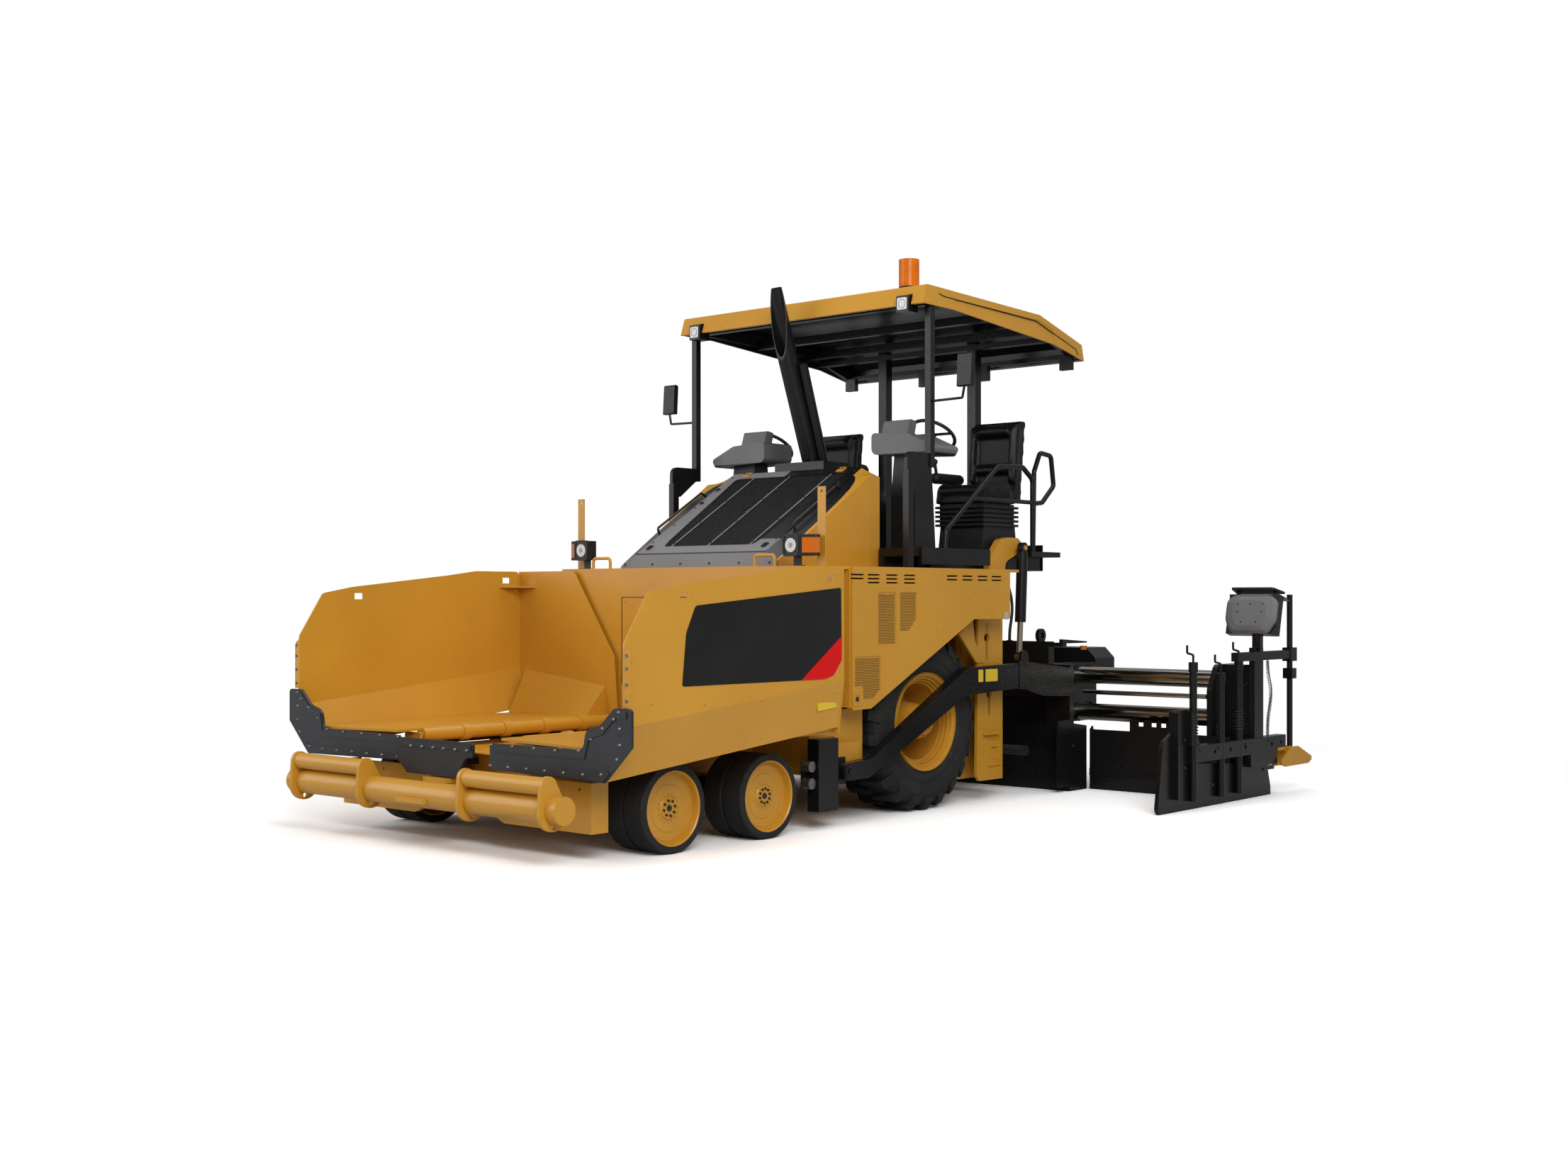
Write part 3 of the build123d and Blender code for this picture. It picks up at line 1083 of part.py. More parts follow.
def end_gate():
    inner = gate_inner_x
    outer = inner + gate_plate
    board = side_plate([(gate_front_y + 20, 0), (gate_rear_y, 0), (gate_rear_y, 60), (2500, 240), (1240, 330),
                        (1240, 712), (1025, 712), (1025, 560), (888, 495), (gate_front_y, 40)], (inner, outer),
                       {0: 30, 5: 12, 6: 12, 8: 60, 9: 15})
    channel = edge_flanges(outer, 1040, 1225, 700)
    gusset = side_plate([(1235, 445), (1420, 445), (1235, 690)], (outer - 5, outer + 12), {1: 20, 2: 20})
    gusset -= block((outer - 10, outer + 15), (1262, 1282), (480, 590))
    beam = block((inner + 2, outer + 50), (1260, 2720), (335, gate_beam_top))
    beam += block((inner + 2, outer + 50), (2130, 2570), (240, 340))
    for y in (1560, 1800, 2040, 2480, 2640):
        beam -= pin_x((outer + 30, outer + 51), y, 395, 15)
    shape = board + channel + gusset + beam
    for y, top, crank_top in gate_posts:
        shape += rod((outer + 25, y, 60), (outer + 25, y, top), 27)
        shape += rod((outer + 25, y, top - 60), (outer + 25, y, top + 8), 33)
        crank = bent_pipe([(outer + 25, y, top), (outer + 25, y, crank_top - 40), (outer + 25, y - 90, crank_top - 25),
                           (outer + 25, y - 90, crank_top + 30)], 8, 14)
        shape += crank
    mast = block((outer - 5, outer + 40), (2210, 2355), (440, 1130))
    mast += block((outer - 5, outer + 60), (2260, 2310), (1100, 1330))
    arm = block((outer + 5, outer + 65), (1900, 2860), (sensor_arm_low, 1100))
    arm += block((outer, outer + 70), (2765, 2875), (1015, 1120))
    pole_x = outer + 35
    pole = rod((pole_x, 2820, 240), (pole_x, 2820, 1530), 22)
    pole += block((pole_x - 38, pole_x + 38), (2780, 2860), (880, 960))
    foot = None
    for x_low in (pole_x - 50, pole_x + 38):
        cheek = side_plate([(2585, 235), (2640, 210), (3050, 210), (3107, 235), (3107, 262), (2870, 355), (2770, 355),
                            (2585, 262)], (x_low, x_low + 12), {5: 20, 6: 20})
        foot = cheek if foot is None else foot + cheek
    foot += block((pole_x - 45, pole_x + 45), (2775, 2865), (262, 345))
    foot += block((pole_x - 45, pole_x + 45), (2600, 2640), (222, 240))
    foot += block((pole_x - 45, pole_x + 45), (3050, 3090), (222, 240))
    display = Box(400, 80, 300) + Pos(0, 55, 153) * Box(408, 190, 8)
    display = Pos(outer - 20, 2330, 1370) * Rot(-14, 0, 0) * display
    return shape + mast + arm + pole + foot + display


add_pair("end_gate", end_gate())


# Cords: plain tubes along straight runs joined by tangent arcs
hose_route = [hose_start, (420, 1860, 1800), (432, 1960, 1765), (450, 2020, 1690), (490, 2035, 1590),
              (545, 1995, 1490), (600, 1920, 1400), (638, 1845, 1315), (650, 1805, 1235), hose_end]
curly_route = [(2558, 2450, sensor_arm_low), (2558, 2450, 935), (2570, 2480, 830), (2568, 2484, 715),
               (2556, 2452, 560), (2556, 2452, gate_beam_top)]


def cord_tube(name, route, diameter):
    radii = []
    for before, corner, after in zip(route, route[1:], route[2:]):
        arriving = Vector(*corner) - Vector(*before)
        leaving = Vector(*after) - Vector(*corner)
        half_turn = math.radians(arriving.get_angle(leaving) / 2)
        radii.append(0.45 * min(arriving.length, leaving.length) / math.tan(half_turn))
    path = FilletPolyline(*route, radius=radii)
    tube = sweep(Plane(origin=path @ 0, z_dir=path % 0) * Circle(diameter / 2), path=path)
    print(name, "length", round(path.length), "radii", [round(radius) for radius in radii],
          "volume ratio", round(tube.volume / (path.length * math.pi * diameter ** 2 / 4), 4))
    return tube


add_pair("screed_hose", cord_tube("screed_hose", hose_route, hose_diameter))
add_pair("sensor_cord", cord_tube("sensor_cord", curly_route, curly_diameter))


# Augers in front of the screed: flat half flights set alternately on a shaft
flight_pitch = 320.0
flight_plate = 14.0


def auger():
    shape = pin_x((auger_inner_x, auger_outer_x), 0, 0, auger_shaft_radius)
    tilt = math.degrees(math.atan2(flight_pitch / 2, 2 * auger_radius))
    disc = Rot(0, 90, 0) * Cylinder(auger_radius, flight_plate)
    count = int((auger_outer_x - auger_inner_x - 80) / flight_pitch)
    for index in range(count):
        for side in (-1, 1):
            x = auger_inner_x + 60 + flight_pitch * (index + 0.5) + side * flight_pitch / 4
            half = disc & block((-50, 50), (min(0, side * 300), max(0, side * 300)), (-300, 300))
            shape += Pos(x, 0, 0) * Rot(0, side * tilt, 0) * half
    shape -= pin_x((auger_inner_x - 1, auger_inner_x + auger_stub + 2), 0, 0, auger_stub_radius + pin_gap)
    return Pos(0, auger_y, auger_z) * shape


add_pair("auger", auger())


# Lift cylinders between the brackets and the tow arms
lift_direction = Vector(0, lift_foot_y - lift_top_y, lift_foot_z - lift_top_z).normalized()
lift_span = math.hypot(lift_foot_y - lift_top_y, lift_foot_z - lift_top_z)


def lift_point(distance):
    return (lift_x, lift_top_y + lift_direction.Y * distance, lift_top_z + lift_direction.Z * distance)


def lift_barrel():
    tube = rod(lift_point(30), lift_point(barrel_length), barrel_radius)
    eye = pin_x((lift_x - lift_eye_width / 2, lift_x + lift_eye_width / 2), lift_top_y, lift_top_z, 42)
    bore = pin_x((lift_x - 60, lift_x + 60), lift_top_y, lift_top_z, lift_pin_radius + pin_gap)
    inside = rod(lift_point(70), lift_point(barrel_length + 5), lift_rod_radius + pin_gap)
    return tube + eye - bore - inside


def lift_rod():
    bar = rod(lift_point(280), lift_point(lift_span - 20), lift_rod_radius)
    eye = pin_x((lift_x - lift_eye_width / 2, lift_x + lift_eye_width / 2), lift_foot_y, lift_foot_z, 36)
    bore = pin_x((lift_x - 60, lift_x + 60), lift_foot_y, lift_foot_z, foot_pin_radius + foot_play)
    return bar + eye - bore


add_pair("lift_barrel", lift_barrel())
add_pair("lift_rod", lift_rod())


# Move the model onto its origin and write one file for each piece
def model_shift():
    boxes = [shape.bounding_box() for shape in nodes.values()]
    low_y = min(box.min.Y for box in boxes)
    high_y = max(box.max.Y for box in boxes)
    return -(low_y + high_y) / 2


shift_y = model_shift()
os.makedirs("parts", exist_ok=True)
for name, shape in nodes.items():
    export_step(Pos(0, shift_y, 0) * shape, "parts/" + name + ".step")
print("shift_y", round(shift_y, 3), "nodes", len(nodes))
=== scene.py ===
import math
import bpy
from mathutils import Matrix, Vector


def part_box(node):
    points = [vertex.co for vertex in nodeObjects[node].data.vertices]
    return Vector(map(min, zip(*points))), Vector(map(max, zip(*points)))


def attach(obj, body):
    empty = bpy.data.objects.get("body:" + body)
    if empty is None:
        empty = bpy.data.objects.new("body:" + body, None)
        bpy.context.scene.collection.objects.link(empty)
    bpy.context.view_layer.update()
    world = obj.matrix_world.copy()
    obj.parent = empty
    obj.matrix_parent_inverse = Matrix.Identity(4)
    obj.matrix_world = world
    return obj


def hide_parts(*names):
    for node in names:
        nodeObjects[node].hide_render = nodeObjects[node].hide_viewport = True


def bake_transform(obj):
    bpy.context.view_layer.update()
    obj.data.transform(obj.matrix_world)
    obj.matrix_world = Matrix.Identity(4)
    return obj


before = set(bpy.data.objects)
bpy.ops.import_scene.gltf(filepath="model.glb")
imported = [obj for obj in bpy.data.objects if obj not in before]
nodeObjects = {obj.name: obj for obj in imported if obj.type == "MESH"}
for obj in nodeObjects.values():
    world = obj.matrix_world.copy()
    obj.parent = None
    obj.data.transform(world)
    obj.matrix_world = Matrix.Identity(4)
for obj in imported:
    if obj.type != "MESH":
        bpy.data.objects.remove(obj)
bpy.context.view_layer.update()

from types import SimpleNamespace

import bmesh
import bpy
from mathutils import Matrix, Vector

bothSides = (("left", 1), ("right", -1))
rimLow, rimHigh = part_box("rear_rim_left")
axleY = (rimLow.y + rimHigh.y) / 2  # every place below is measured from the rear axle, then moved by this
white = (1, 1, 1, 1)


def place(x, y, z):
    return Vector((x, y + axleY, z))


def linked(name, data):
    obj = bpy.data.objects.new(name, data)
    bpy.context.scene.collection.objects.link(obj)
    return obj


def addNode(tree, kind, inputs=None, **settings):
    # each input is linked when a socket is given, and set when a value is given
    node = tree.nodes.new(kind)
    for key, value in settings.items():
        setattr(node, key, value)
    for key, value in (inputs or {}).items():
        if isinstance(value, bpy.types.NodeSocket):
            tree.links.new(value, node.inputs[key])
        else:
            node.inputs[key].default_value = value
    return node


# Studio: pale floor, soft light, camera where the photographer stood
studio = {
    "cameraAt": (8.484, -9.959, 1.511),
    "turn": 41.04,
    "lens": 39.99,
    "filmWidth": 36,
    "horizonShift": 12.75 / 2212,  # the horizon's height over the picture's middle, as a share of its width
    "clipEnd": 200,
    "skyStrength": 0.34,
    "floorReach": 45,
    "floorColour": (0.60, 0.60, 0.60, 1),
    "floorSeen": (1.5, 1.5, 1.5, 1),
    "fadeFrom": 3.2,
    "fadeTo": 8.5,
}
# name, place, size, power, the point it faces
studioLights = (
    ("keyLight", (9.5, -7.6, 7.5), 6.0, 780, (0, -0.5, 1.0)),
    ("fillLight", (-7.0, -9.0, 5.0), 7.0, 355, (0, -0.5, 1.0)),
    ("topLight", (1.5, 1.5, 10.0), 7.0, 330, (0, 0.5, 1.0)))


def buildStudio():
    scene = bpy.context.scene
    scene.view_settings.view_transform = "Standard"
    camera = bpy.data.cameras.new("photoCamera")
    camera.lens = studio["lens"]
    camera.sensor_width = studio["filmWidth"]
    camera.shift_y = studio["horizonShift"]
    camera.clip_end = studio["clipEnd"]
    eye = linked("photoCamera", camera)
    eye.location = place(*studio["cameraAt"])
    eye.rotation_euler = (math.radians(90), 0, math.radians(studio["turn"]))
    scene.camera = eye
    world = bpy.data.worlds.new("studioSky")
    scene.world = world
    world.use_nodes = True
    tree = world.node_tree
    tree.nodes.clear()
    lit = addNode(tree, "ShaderNodeBackground", {"Color": white, "Strength": studio["skyStrength"]})
    seen = addNode(tree, "ShaderNodeBackground", {"Color": white, "Strength": 1.0})
    ray = addNode(tree, "ShaderNodeLightPath").outputs["Is Camera Ray"]
    mix = addNode(tree, "ShaderNodeMixShader", {"Fac": ray, 1: lit.outputs[0], 2: seen.outputs[0]})
    addNode(tree, "ShaderNodeOutputWorld", {"Surface": mix.outputs[0]})
    for name, spot, size, power, aim in studioLights:
        lamp = bpy.data.lights.new(name, "AREA")
        lamp.shape = "SQUARE"
        lamp.size = size
        lamp.energy = power
        holder = linked(name, lamp)
        holder.location = place(*spot)
        holder.rotation_euler = (place(*aim) - place(*spot)).to_track_quat("-Z", "Y").to_euler()


def buildFloor():
    # the camera sees the floor brighter than it lights the machine, and white further out
    mesh = bpy.data.meshes.new("studioFloor")
    reach = studio["floorReach"]
    corners = [(-reach, -reach, 0), (reach, -reach, 0), (reach, reach, 0), (-reach, reach, 0)]
    mesh.from_pydata(corners, [], [(0, 1, 2, 3)])
    floor = linked("studioFloor", mesh)
    material = bpy.data.materials.new("paleFloor")
    material.use_nodes = True
    tree = material.node_tree
    tree.nodes.remove(tree.nodes["Principled BSDF"])
    ray = addNode(tree, "ShaderNodeLightPath").outputs["Is Camera Ray"]
    tone = addNode(tree, "ShaderNodeMix", {0: ray, 6: studio["floorColour"], 7: studio["floorSeen"]},
                   data_type="RGBA")
    surface = addNode(tree, "ShaderNodeBsdfDiffuse", {"Color": tone.outputs[2]})
    glow = addNode(tree, "ShaderNodeEmission", {"Strength": 1.0})
    coords = addNode(tree, "ShaderNodeTexCoord")
    away = addNode(tree, "ShaderNodeVectorMath", {0: coords.outputs["Object"]}, operation="LENGTH")
    fade = addNode(tree, "ShaderNodeMapRange", {
        "Value": away.outputs["Value"], "From Min": studio["fadeFrom"], "From Max": studio["fadeTo"]},
        interpolation_type="SMOOTHSTEP")
    share = addNode(tree, "ShaderNodeMath", {0: fade.outputs["Result"], 1: ray}, operation="MULTIPLY")
    mix = addNode(tree, "ShaderNodeMixShader", {
        "Fac": share.outputs[0], 1: surface.outputs[0], 2: glow.outputs[0]})
    tree.links.new(mix.outputs[0], tree.nodes["Material Output"].inputs["Surface"])
    mesh.materials.append(material)


def finish(colour, patch, scale, grain, rough, spread, bump, metal=0.0, gloss=0.5):
    # patch, scale: second colour of a broad patchiness; grain: size of the fine one; spread: of the roughness
    return dict(colour=colour, patch=patch, scale=scale, grain=grain, rough=rough, spread=spread, bump=bump,
                metal=metal, gloss=gloss)


looks = {
    "goldPaint": finish((0.66, 0.325, 0.030), (0.59, 0.285, 0.024), 1.3, 55, 0.34, 0.07, 0.05),
    "blackPaint": finish((0.0060, 0.0058, 0.0062), (0.0100, 0.0098, 0.0102), 2.0, 70, 0.28, 0.05, 0.015,
                         gloss=0.35),
    "apronPaint": finish((0.014, 0.016, 0.020), (0.024, 0.027, 0.032), 3.0, 45, 0.42, 0.12, 0.10),
    # the lid's frame is black paint; this grey is a painted reflection of the bright surroundings
    "lidReflectionGrey": finish((0.24, 0.235, 0.24), (0.20, 0.197, 0.20), 2.0, 60, 0.42, 0.08, 0.05),
    # the hood's front lip is black paint; this grey is a painted reflection of the bright surroundings
    "lipReflectionGrey": finish((0.22, 0.216, 0.22), (0.185, 0.182, 0.185), 2.0, 60, 0.36, 0.08, 0.04),
    "palePaint": finish((0.52, 0.52, 0.50), (0.46, 0.46, 0.45), 2.0, 60, 0.45, 0.08, 0.04),
    "stripeRed": finish((0.80, 0.003, 0.004), (0.72, 0.002, 0.003), 2.0, 60, 0.40, 0.05, 0.02, gloss=0.25),
    "signYellow": finish((0.80, 0.55, 0.03), (0.74, 0.50, 0.03), 4.0, 60, 0.45, 0.05, 0.02),
    "tyreRubber": finish((0.010, 0.010, 0.010), (0.020, 0.0195, 0.019), 4.5, 38, 0.80, 0.12, 0.22),
    "hoseRubber": finish((0.007, 0.007, 0.0075), (0.012, 0.012, 0.012), 9.0, 90, 0.50, 0.10, 0.08),
    "darkSteel": finish((0.050, 0.050, 0.052), (0.078, 0.074, 0.068), 5.0, 40, 0.52, 0.12, 0.12, 0.7),
    "wornSteel": finish((0.30, 0.29, 0.28), (0.20, 0.19, 0.18), 4.0, 50, 0.40, 0.14, 0.10, 0.9),
    "boltSteel": finish((0.24, 0.24, 0.24), (0.17, 0.17, 0.17), 9.0, 60, 0.34, 0.08, 0.04, 0.9),
    "tubeChrome": finish((0.52, 0.48, 0.42), (0.44, 0.41, 0.36), 2.0, 40, 0.17, 0.05, 0.02, 1.0),
    "seatVinyl": finish((0.0029, 0.0029, 0.0032), (0.0049, 0.0049, 0.0054), 6.0, 180, 0.46, 0.06, 0.12,
                        gloss=0.35),
    "greyPlastic": finish((0.19, 0.187, 0.19), (0.16, 0.158, 0.16), 3.0, 120, 0.55, 0.06, 0.08),
    "blackPlastic": finish((0.008, 0.008, 0.0085), (0.013, 0.013, 0.0135), 4.0, 120, 0.50, 0.08, 0.10),
    "screenGlass": finish((0.010, 0.014, 0.018), (0.014, 0.019, 0.024), 3.0, 20, 0.12, 0.03, 0.01),
    # lamp lenses near white: clear glass with its highlight painted into the colour
    "lensGlassAndHighlight": finish((0.80, 0.81, 0.82), (0.68, 0.69, 0.70), 30.0, 90, 0.10, 0.05, 0.30),
    "amberGlass": finish((0.78, 0.19, 0.003), (0.66, 0.14, 0.002), 20.0, 80, 0.20, 0.05, 0.10, gloss=0.25),
    "mirrorFace": finish((0.80, 0.81, 0.82), (0.74, 0.75, 0.76), 2.0, 30, 0.04, 0.02, 0.0, 1.0),
    # near black for painted shade in the vent holes, the grille recess and behind the louvres, and the real
    # colour of the dark seams
    "shadeAndSeamBlack": finish((0.004, 0.004, 0.004), (0.007, 0.007, 0.007), 9.0, 90, 0.85, 0.05, 0.02),
    "wireDark": finish((0.020, 0.021, 0.022), (0.034, 0.035, 0.036), 9.0, 90, 0.50, 0.10, 0.02, 0.3),
}
noise = {"low": 0.3, "high": 0.7, "broadDetail": 3.0, "grainDetail": 2.0, "bumpDepth": 0.004}


def mathNode(operation, first, second=0.0):
    tree = next(value.id_data for value in (first, second) if isinstance(value, bpy.types.NodeSocket))
    return addNode(tree, "ShaderNodeMath", {0: first, 1: second}, operation=operation).outputs[0]


def minus(first, second):
    return mathNode("SUBTRACT", first, second)


def plus(first, second):
    return mathNode("ADD", first, second)


def times(first, second):
    return mathNode("MULTIPLY", first, second)


def above(value, limit):
    return mathNode("GREATER_THAN", value, limit)


def below(value, limit):
    return mathNode("LESS_THAN", value, limit)


def every(first, *tests):
    for test in tests:
        first = times(first, test)
    return first


def either(first, *tests):
    for test in tests:
        first = mathNode("MAXIMUM", first, test)
    return first


def colourMix(tree, factor, first, second):
    ends = [(*value, 1) if isinstance(value, tuple) else value for value in (first, second)]
    return addNode(tree, "ShaderNodeMix", {0: factor, 6: ends[0], 7: ends[1]}, data_type="RGBA").outputs[2]


def floatMix(factor, first, second):
    return plus(times(minus(1.0, factor), first), times(factor, second))


def noiseSocket(tree, spot, scale, detail):
    node = addNode(tree, "ShaderNodeTexNoise", {"Vector": spot, "Scale": scale, "Detail": detail})
    return node.outputs["Fac"]


def ranged(tree, value, low, high):
    node = addNode(tree, "ShaderNodeMapRange", {
        "Value": value, "From Min": noise["low"], "From Max": noise["high"], "To Min": low, "To Max": high})
    return node.outputs["Result"]


def finishSurface(name, look, *layers):
    # layers: pairs of another look and the mask that shows where it lies
    material = bpy.data.materials.new(name)
    material.use_nodes = True
    tree = material.node_tree
    shader = tree.nodes["Principled BSDF"]
    coords = addNode(tree, "ShaderNodeTexCoord")
    spot = coords.outputs["Object"]
    broad = ranged(tree, noiseSocket(tree, spot, look["scale"], noise["broadDetail"]), 0.0, 1.0)
    grain = noiseSocket(tree, spot, look["grain"], noise["grainDetail"])
    colour = colourMix(tree, broad, look["colour"], look["patch"])
    rough = ranged(tree, grain, look["rough"] - look["spread"], look["rough"] + look["spread"])
    metal = look["metal"]
    shader.inputs["Metallic"].default_value = metal
    shader.inputs["Specular IOR Level"].default_value = look["gloss"]
    for other, mask in layers:
        factor = mask(axes(tree, coords))
        colour = colourMix(tree, factor, colour, colourMix(tree, broad, other["colour"], other["patch"]))
        rough = floatMix(factor, rough, other["rough"])
        if other["metal"] != look["metal"]:
            metal = floatMix(factor, metal, other["metal"])
            tree.links.new(metal, shader.inputs["Metallic"])
    tree.links.new(colour, shader.inputs["Base Color"])
    tree.links.new(rough, shader.inputs["Roughness"])
    bump = addNode(tree, "ShaderNodeBump", {
        "Strength": look["bump"], "Distance": noise["bumpDepth"], "Height": grain})
    tree.links.new(bump.outputs["Normal"], shader.inputs["Normal"])
    return material


# Masks: each takes the place on the surface (x unsigned, y from the axle, z) and is 1 where the look lies
def axes(tree, coords):
    x, y, z = addNode(tree, "ShaderNodeSeparateXYZ", {0: coords.outputs["Object"]}).outputs
    return SimpleNamespace(x=mathNode("ABSOLUTE", x), y=minus(y, axleY), z=z, signedX=x, tree=tree,
                           coords=coords)


def within(at, middle, radius):
    dy, dz = minus(at.y, middle[0]), minus(at.z, middle[1])
    return below(plus(times(dy, dy), times(dz, dz)), radius * radius)


def wheelDisc(middle):
    return lambda at: within(at, middle, 0.2225)


def hoodStrip(at):
    # the sloping strip beside the lid, above the side plates' top edges
    edge = plus(times(plus(at.y, 1.128), 0.6546), 1.768)
    return every(above(at.z, edge), below(at.y, -0.188))


def hoodLip(at):
    # the front lip: its grey is a painted reflection on black paint
    return below(at.y, -1.1285)


def lidGrilleShadeAndLatches(at):
    # the recess behind the grille, painted near black as painted shade, and the two latches and the handle of
    # the lid
    dy, dz = minus(at.y, hood["front"][0]), minus(at.z, hood["front"][1])
    out = minus(times(dz, hoodCos), times(dy, hoodSin))
    along = plus(times(dy, hoodCos), times(dz, hoodSin))
    recess = every(below(out, -0.004), above(out, -0.016), below(at.x, 0.545), above(along, 0.09))
    latches = every(above(at.x, 0.538), below(along, 0.11))
    handle = every(below(at.x, 0.045), above(along, 0.58), below(along, 0.65))
    return either(recess, every(above(out, 0.0015), either(latches, handle)))


def lidBlack(at):
    # the rail on the left side and the left part of the rear rail, where the lid shows its black paint;
    # elsewhere the frame's grey is a painted reflection
    along = times(minus(at.z, hood["front"][1]), 1 / hoodSin)
    return either(every(above(at.signedX, 0.44), above(along, 0.17)),
                  every(above(at.signedX, -0.05), above(along, 1.13)))


def canopyInside(at):
    normal = addNode(at.tree, "ShaderNodeSeparateXYZ", {0: at.coords.outputs["Normal"]}).outputs
    inward = every(above(at.y, -0.048), below(normal[1], 0.5))
    backward = every(below(at.y, 1.0), above(normal[1], 0.5))
    return every(below(normal[2], 0.3), below(at.x, 1.1765), either(inward, backward))


def beaconBase(at):
    return below(at.z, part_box("beacon")[0].z + 0.035)


def lampSides(at):
    return every(above(at.x, 1.102), above(at.z, 1.802), below(at.z, 1.902), below(at.y, -1.215))


def gateFoot(at):
    return every(above(at.y, 2.582), below(at.z, 0.357))


def guideTubes(row):
    def mask(at):
        tubes = either(within(at, (row, tubeHeights[0]), 0.0685), within(at, (row, tubeHeights[1]), 0.0685),
                       within(at, (2.0, 0.762), 0.0195))
        return every(tubes, below(at.x, 2.283))
    return mask


def wheelAndColumn(at):
    return either(above(at.y, 0.4915), every(above(at.z, 2.742), above(at.y, 0.39)), below(at.z, 2.56))


def guideRollers(at):
    return either(within(at, (-1.372, 0.416), 0.038), within(at, (-1.372, 0.306), 0.038))


tubeHeights = (0.885, 0.592)
tubeRows = {"left": 2.2, "right": 2.37}
maskedLooks = {
    "frontWheelFinish": ("tyreRubber", ("goldPaint", wheelDisc((-2.663, 0.267)))),
    "rearWheelFinish": ("tyreRubber", ("goldPaint", wheelDisc((-1.819, 0.267)))),
    "hoodFinish": ("goldPaint", ("blackPaint", hoodStrip), ("lipReflectionGrey", hoodLip)),
    # on the lid: grey painted reflection on the frame, black on the left rails, near black painted shade in the
    # grille recess, black latches and handle
    "lidFinish": ("lidReflectionGrey", ("blackPaint", lidBlack), ("shadeAndSeamBlack", lidGrilleShadeAndLatches)),
    "canopyFinish": ("goldPaint", ("blackPaint", canopyInside)),
    "gateFinish": ("blackPaint", ("goldPaint", gateFoot)),
    "leftTubeFinish": ("blackPaint", ("tubeChrome", guideTubes(tubeRows["left"]))),
    "rightTubeFinish": ("blackPaint", ("tubeChrome", guideTubes(tubeRows["right"]))),
    "consoleFinish": ("greyPlastic", ("blackPlastic", wheelAndColumn)),
    "guideFinish": ("blackPaint", ("wornSteel", guideRollers)),
    "beaconFinish": ("amberGlass", ("blackPlastic", beaconBase)),
    "lampFinish": ("blackPlastic", ("amberGlass", lampSides))}
# each node takes the finish that its name's first letters stand under
nodeFinishes = {
    "goldPaint": ("rear_rim", "main_frame", "front_bumper", "rear_columns", "conveyors", "hopper_wing",
                  "push_beam", "push_roller", "deck", "side_strips", "service_door"),
    "blackPaint": ("bogie_beams", "exhaust_stack", "platform", "canopy_frame", "handrails", "tow_arms",
                   "screed_main", "lift_barrel"),
    "darkSteel": ("steering_knuckle", "engine_block", "auger"),
    "hoseRubber": ("apron_centre", "screed_hose", "sensor_cord"),
    "seatVinyl": ("seat_cushions", "seat_backs"),
    "tyreRubber": ("rear_tyre",), "frontWheelFinish": ("bogie_wheel_front",), "apronPaint": ("hopper_apron",),
    "rearWheelFinish": ("bogie_wheel_rear",), "hoodFinish": ("engine_cowl",), "lidFinish": ("hood_lid",),
    "consoleFinish": ("consoles",), "blackPlastic": ("seat_pedestals",), "canopyFinish": ("canopy_roof",),
    "lampFinish": ("front_lamps",), "beaconFinish": ("beacon",), "guideFinish": ("tow_guides",),
    "leftTubeFinish": ("extension_left",),
    "rightTubeFinish": ("extension_right",),
    "gateFinish": ("end_gate",),
    "tubeChrome": ("lift_rod",)}
materials = {}


def buildMaterials():
    for name, look in looks.items():
        materials[name] = finishSurface(name, look)
    for name, (look, *layers) in maskedLooks.items():
        materials[name] = finishSurface(name, looks[look], *[(looks[other], mask) for other, mask in layers])


def dressNodes():
    for name, obj in nodeObjects.items():
        chosen = next(look for look, starts in nodeFinishes.items() if name.startswith(starts))
        if not obj.material_slots:
            obj.data.materials.append(materials[chosen])
        for holder in obj.material_slots:
            holder.material = materials[chosen]


# Makers of the added pieces
def newPiece(name, mesh, body, look):
    obj = linked(name, mesh)
    mesh.materials.clear()
    mesh.materials.append(materials[look])
    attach(obj, body)
    return obj


def meshFrom(name, build):
    shape = bmesh.new()
    build(shape)
    bmesh.ops.remove_doubles(shape, verts=shape.verts, dist=1e-5)
    bmesh.ops.recalc_face_normals(shape, faces=shape.faces)
    mesh = bpy.data.meshes.new(name)
    shape.to_mesh(mesh)
    shape.free()
    return mesh


def circle(radius, count, phase=0.0, closed=False):
    angles = [phase + 2 * math.pi * index / count for index in range(count + closed)]
    return [(radius * math.cos(angle), radius * math.sin(angle)) for angle in angles]


def joinRings(shape, rings):
    # walls between rings of vertices, with a face over each end
    for first, second in zip(rings, rings[1:]):
        for index in range(len(first)):
            after = (index + 1) % len(first)
            shape.faces.new((first[index], first[after], second[after], second[index]))
    shape.faces.new(rings[0])
    shape.faces.new(rings[-1])


def addPlate(shape, corners, push):
    # corners: points of one flat face, in metres from the axle; push: the plate's thickness as a vector
    low = [shape.verts.new(place(*corner)) for corner in corners]
    high = [shape.verts.new(place(*corner) + Vector(push)) for corner in corners]
    joinRings(shape, [low, high])


def addRound(shape, spot, radius, depth, sides, turn=Matrix(), top=None):
    bmesh.ops.create_cone(shape, cap_ends=True, segments=sides, radius1=radius, radius2=top or radius,
                          depth=depth, matrix=Matrix.Translation(spot) @ turn)


def roundPiece(name, body, spot, radius, depth, sides, look, turn=Matrix(), top=None):
    mesh = meshFrom(name, lambda shape: addRound(shape, spot, radius, depth, sides, turn, top))
    return newPiece(name, mesh, body, look)


sideways = Matrix.Rotation(math.radians(90), 4, "Y")


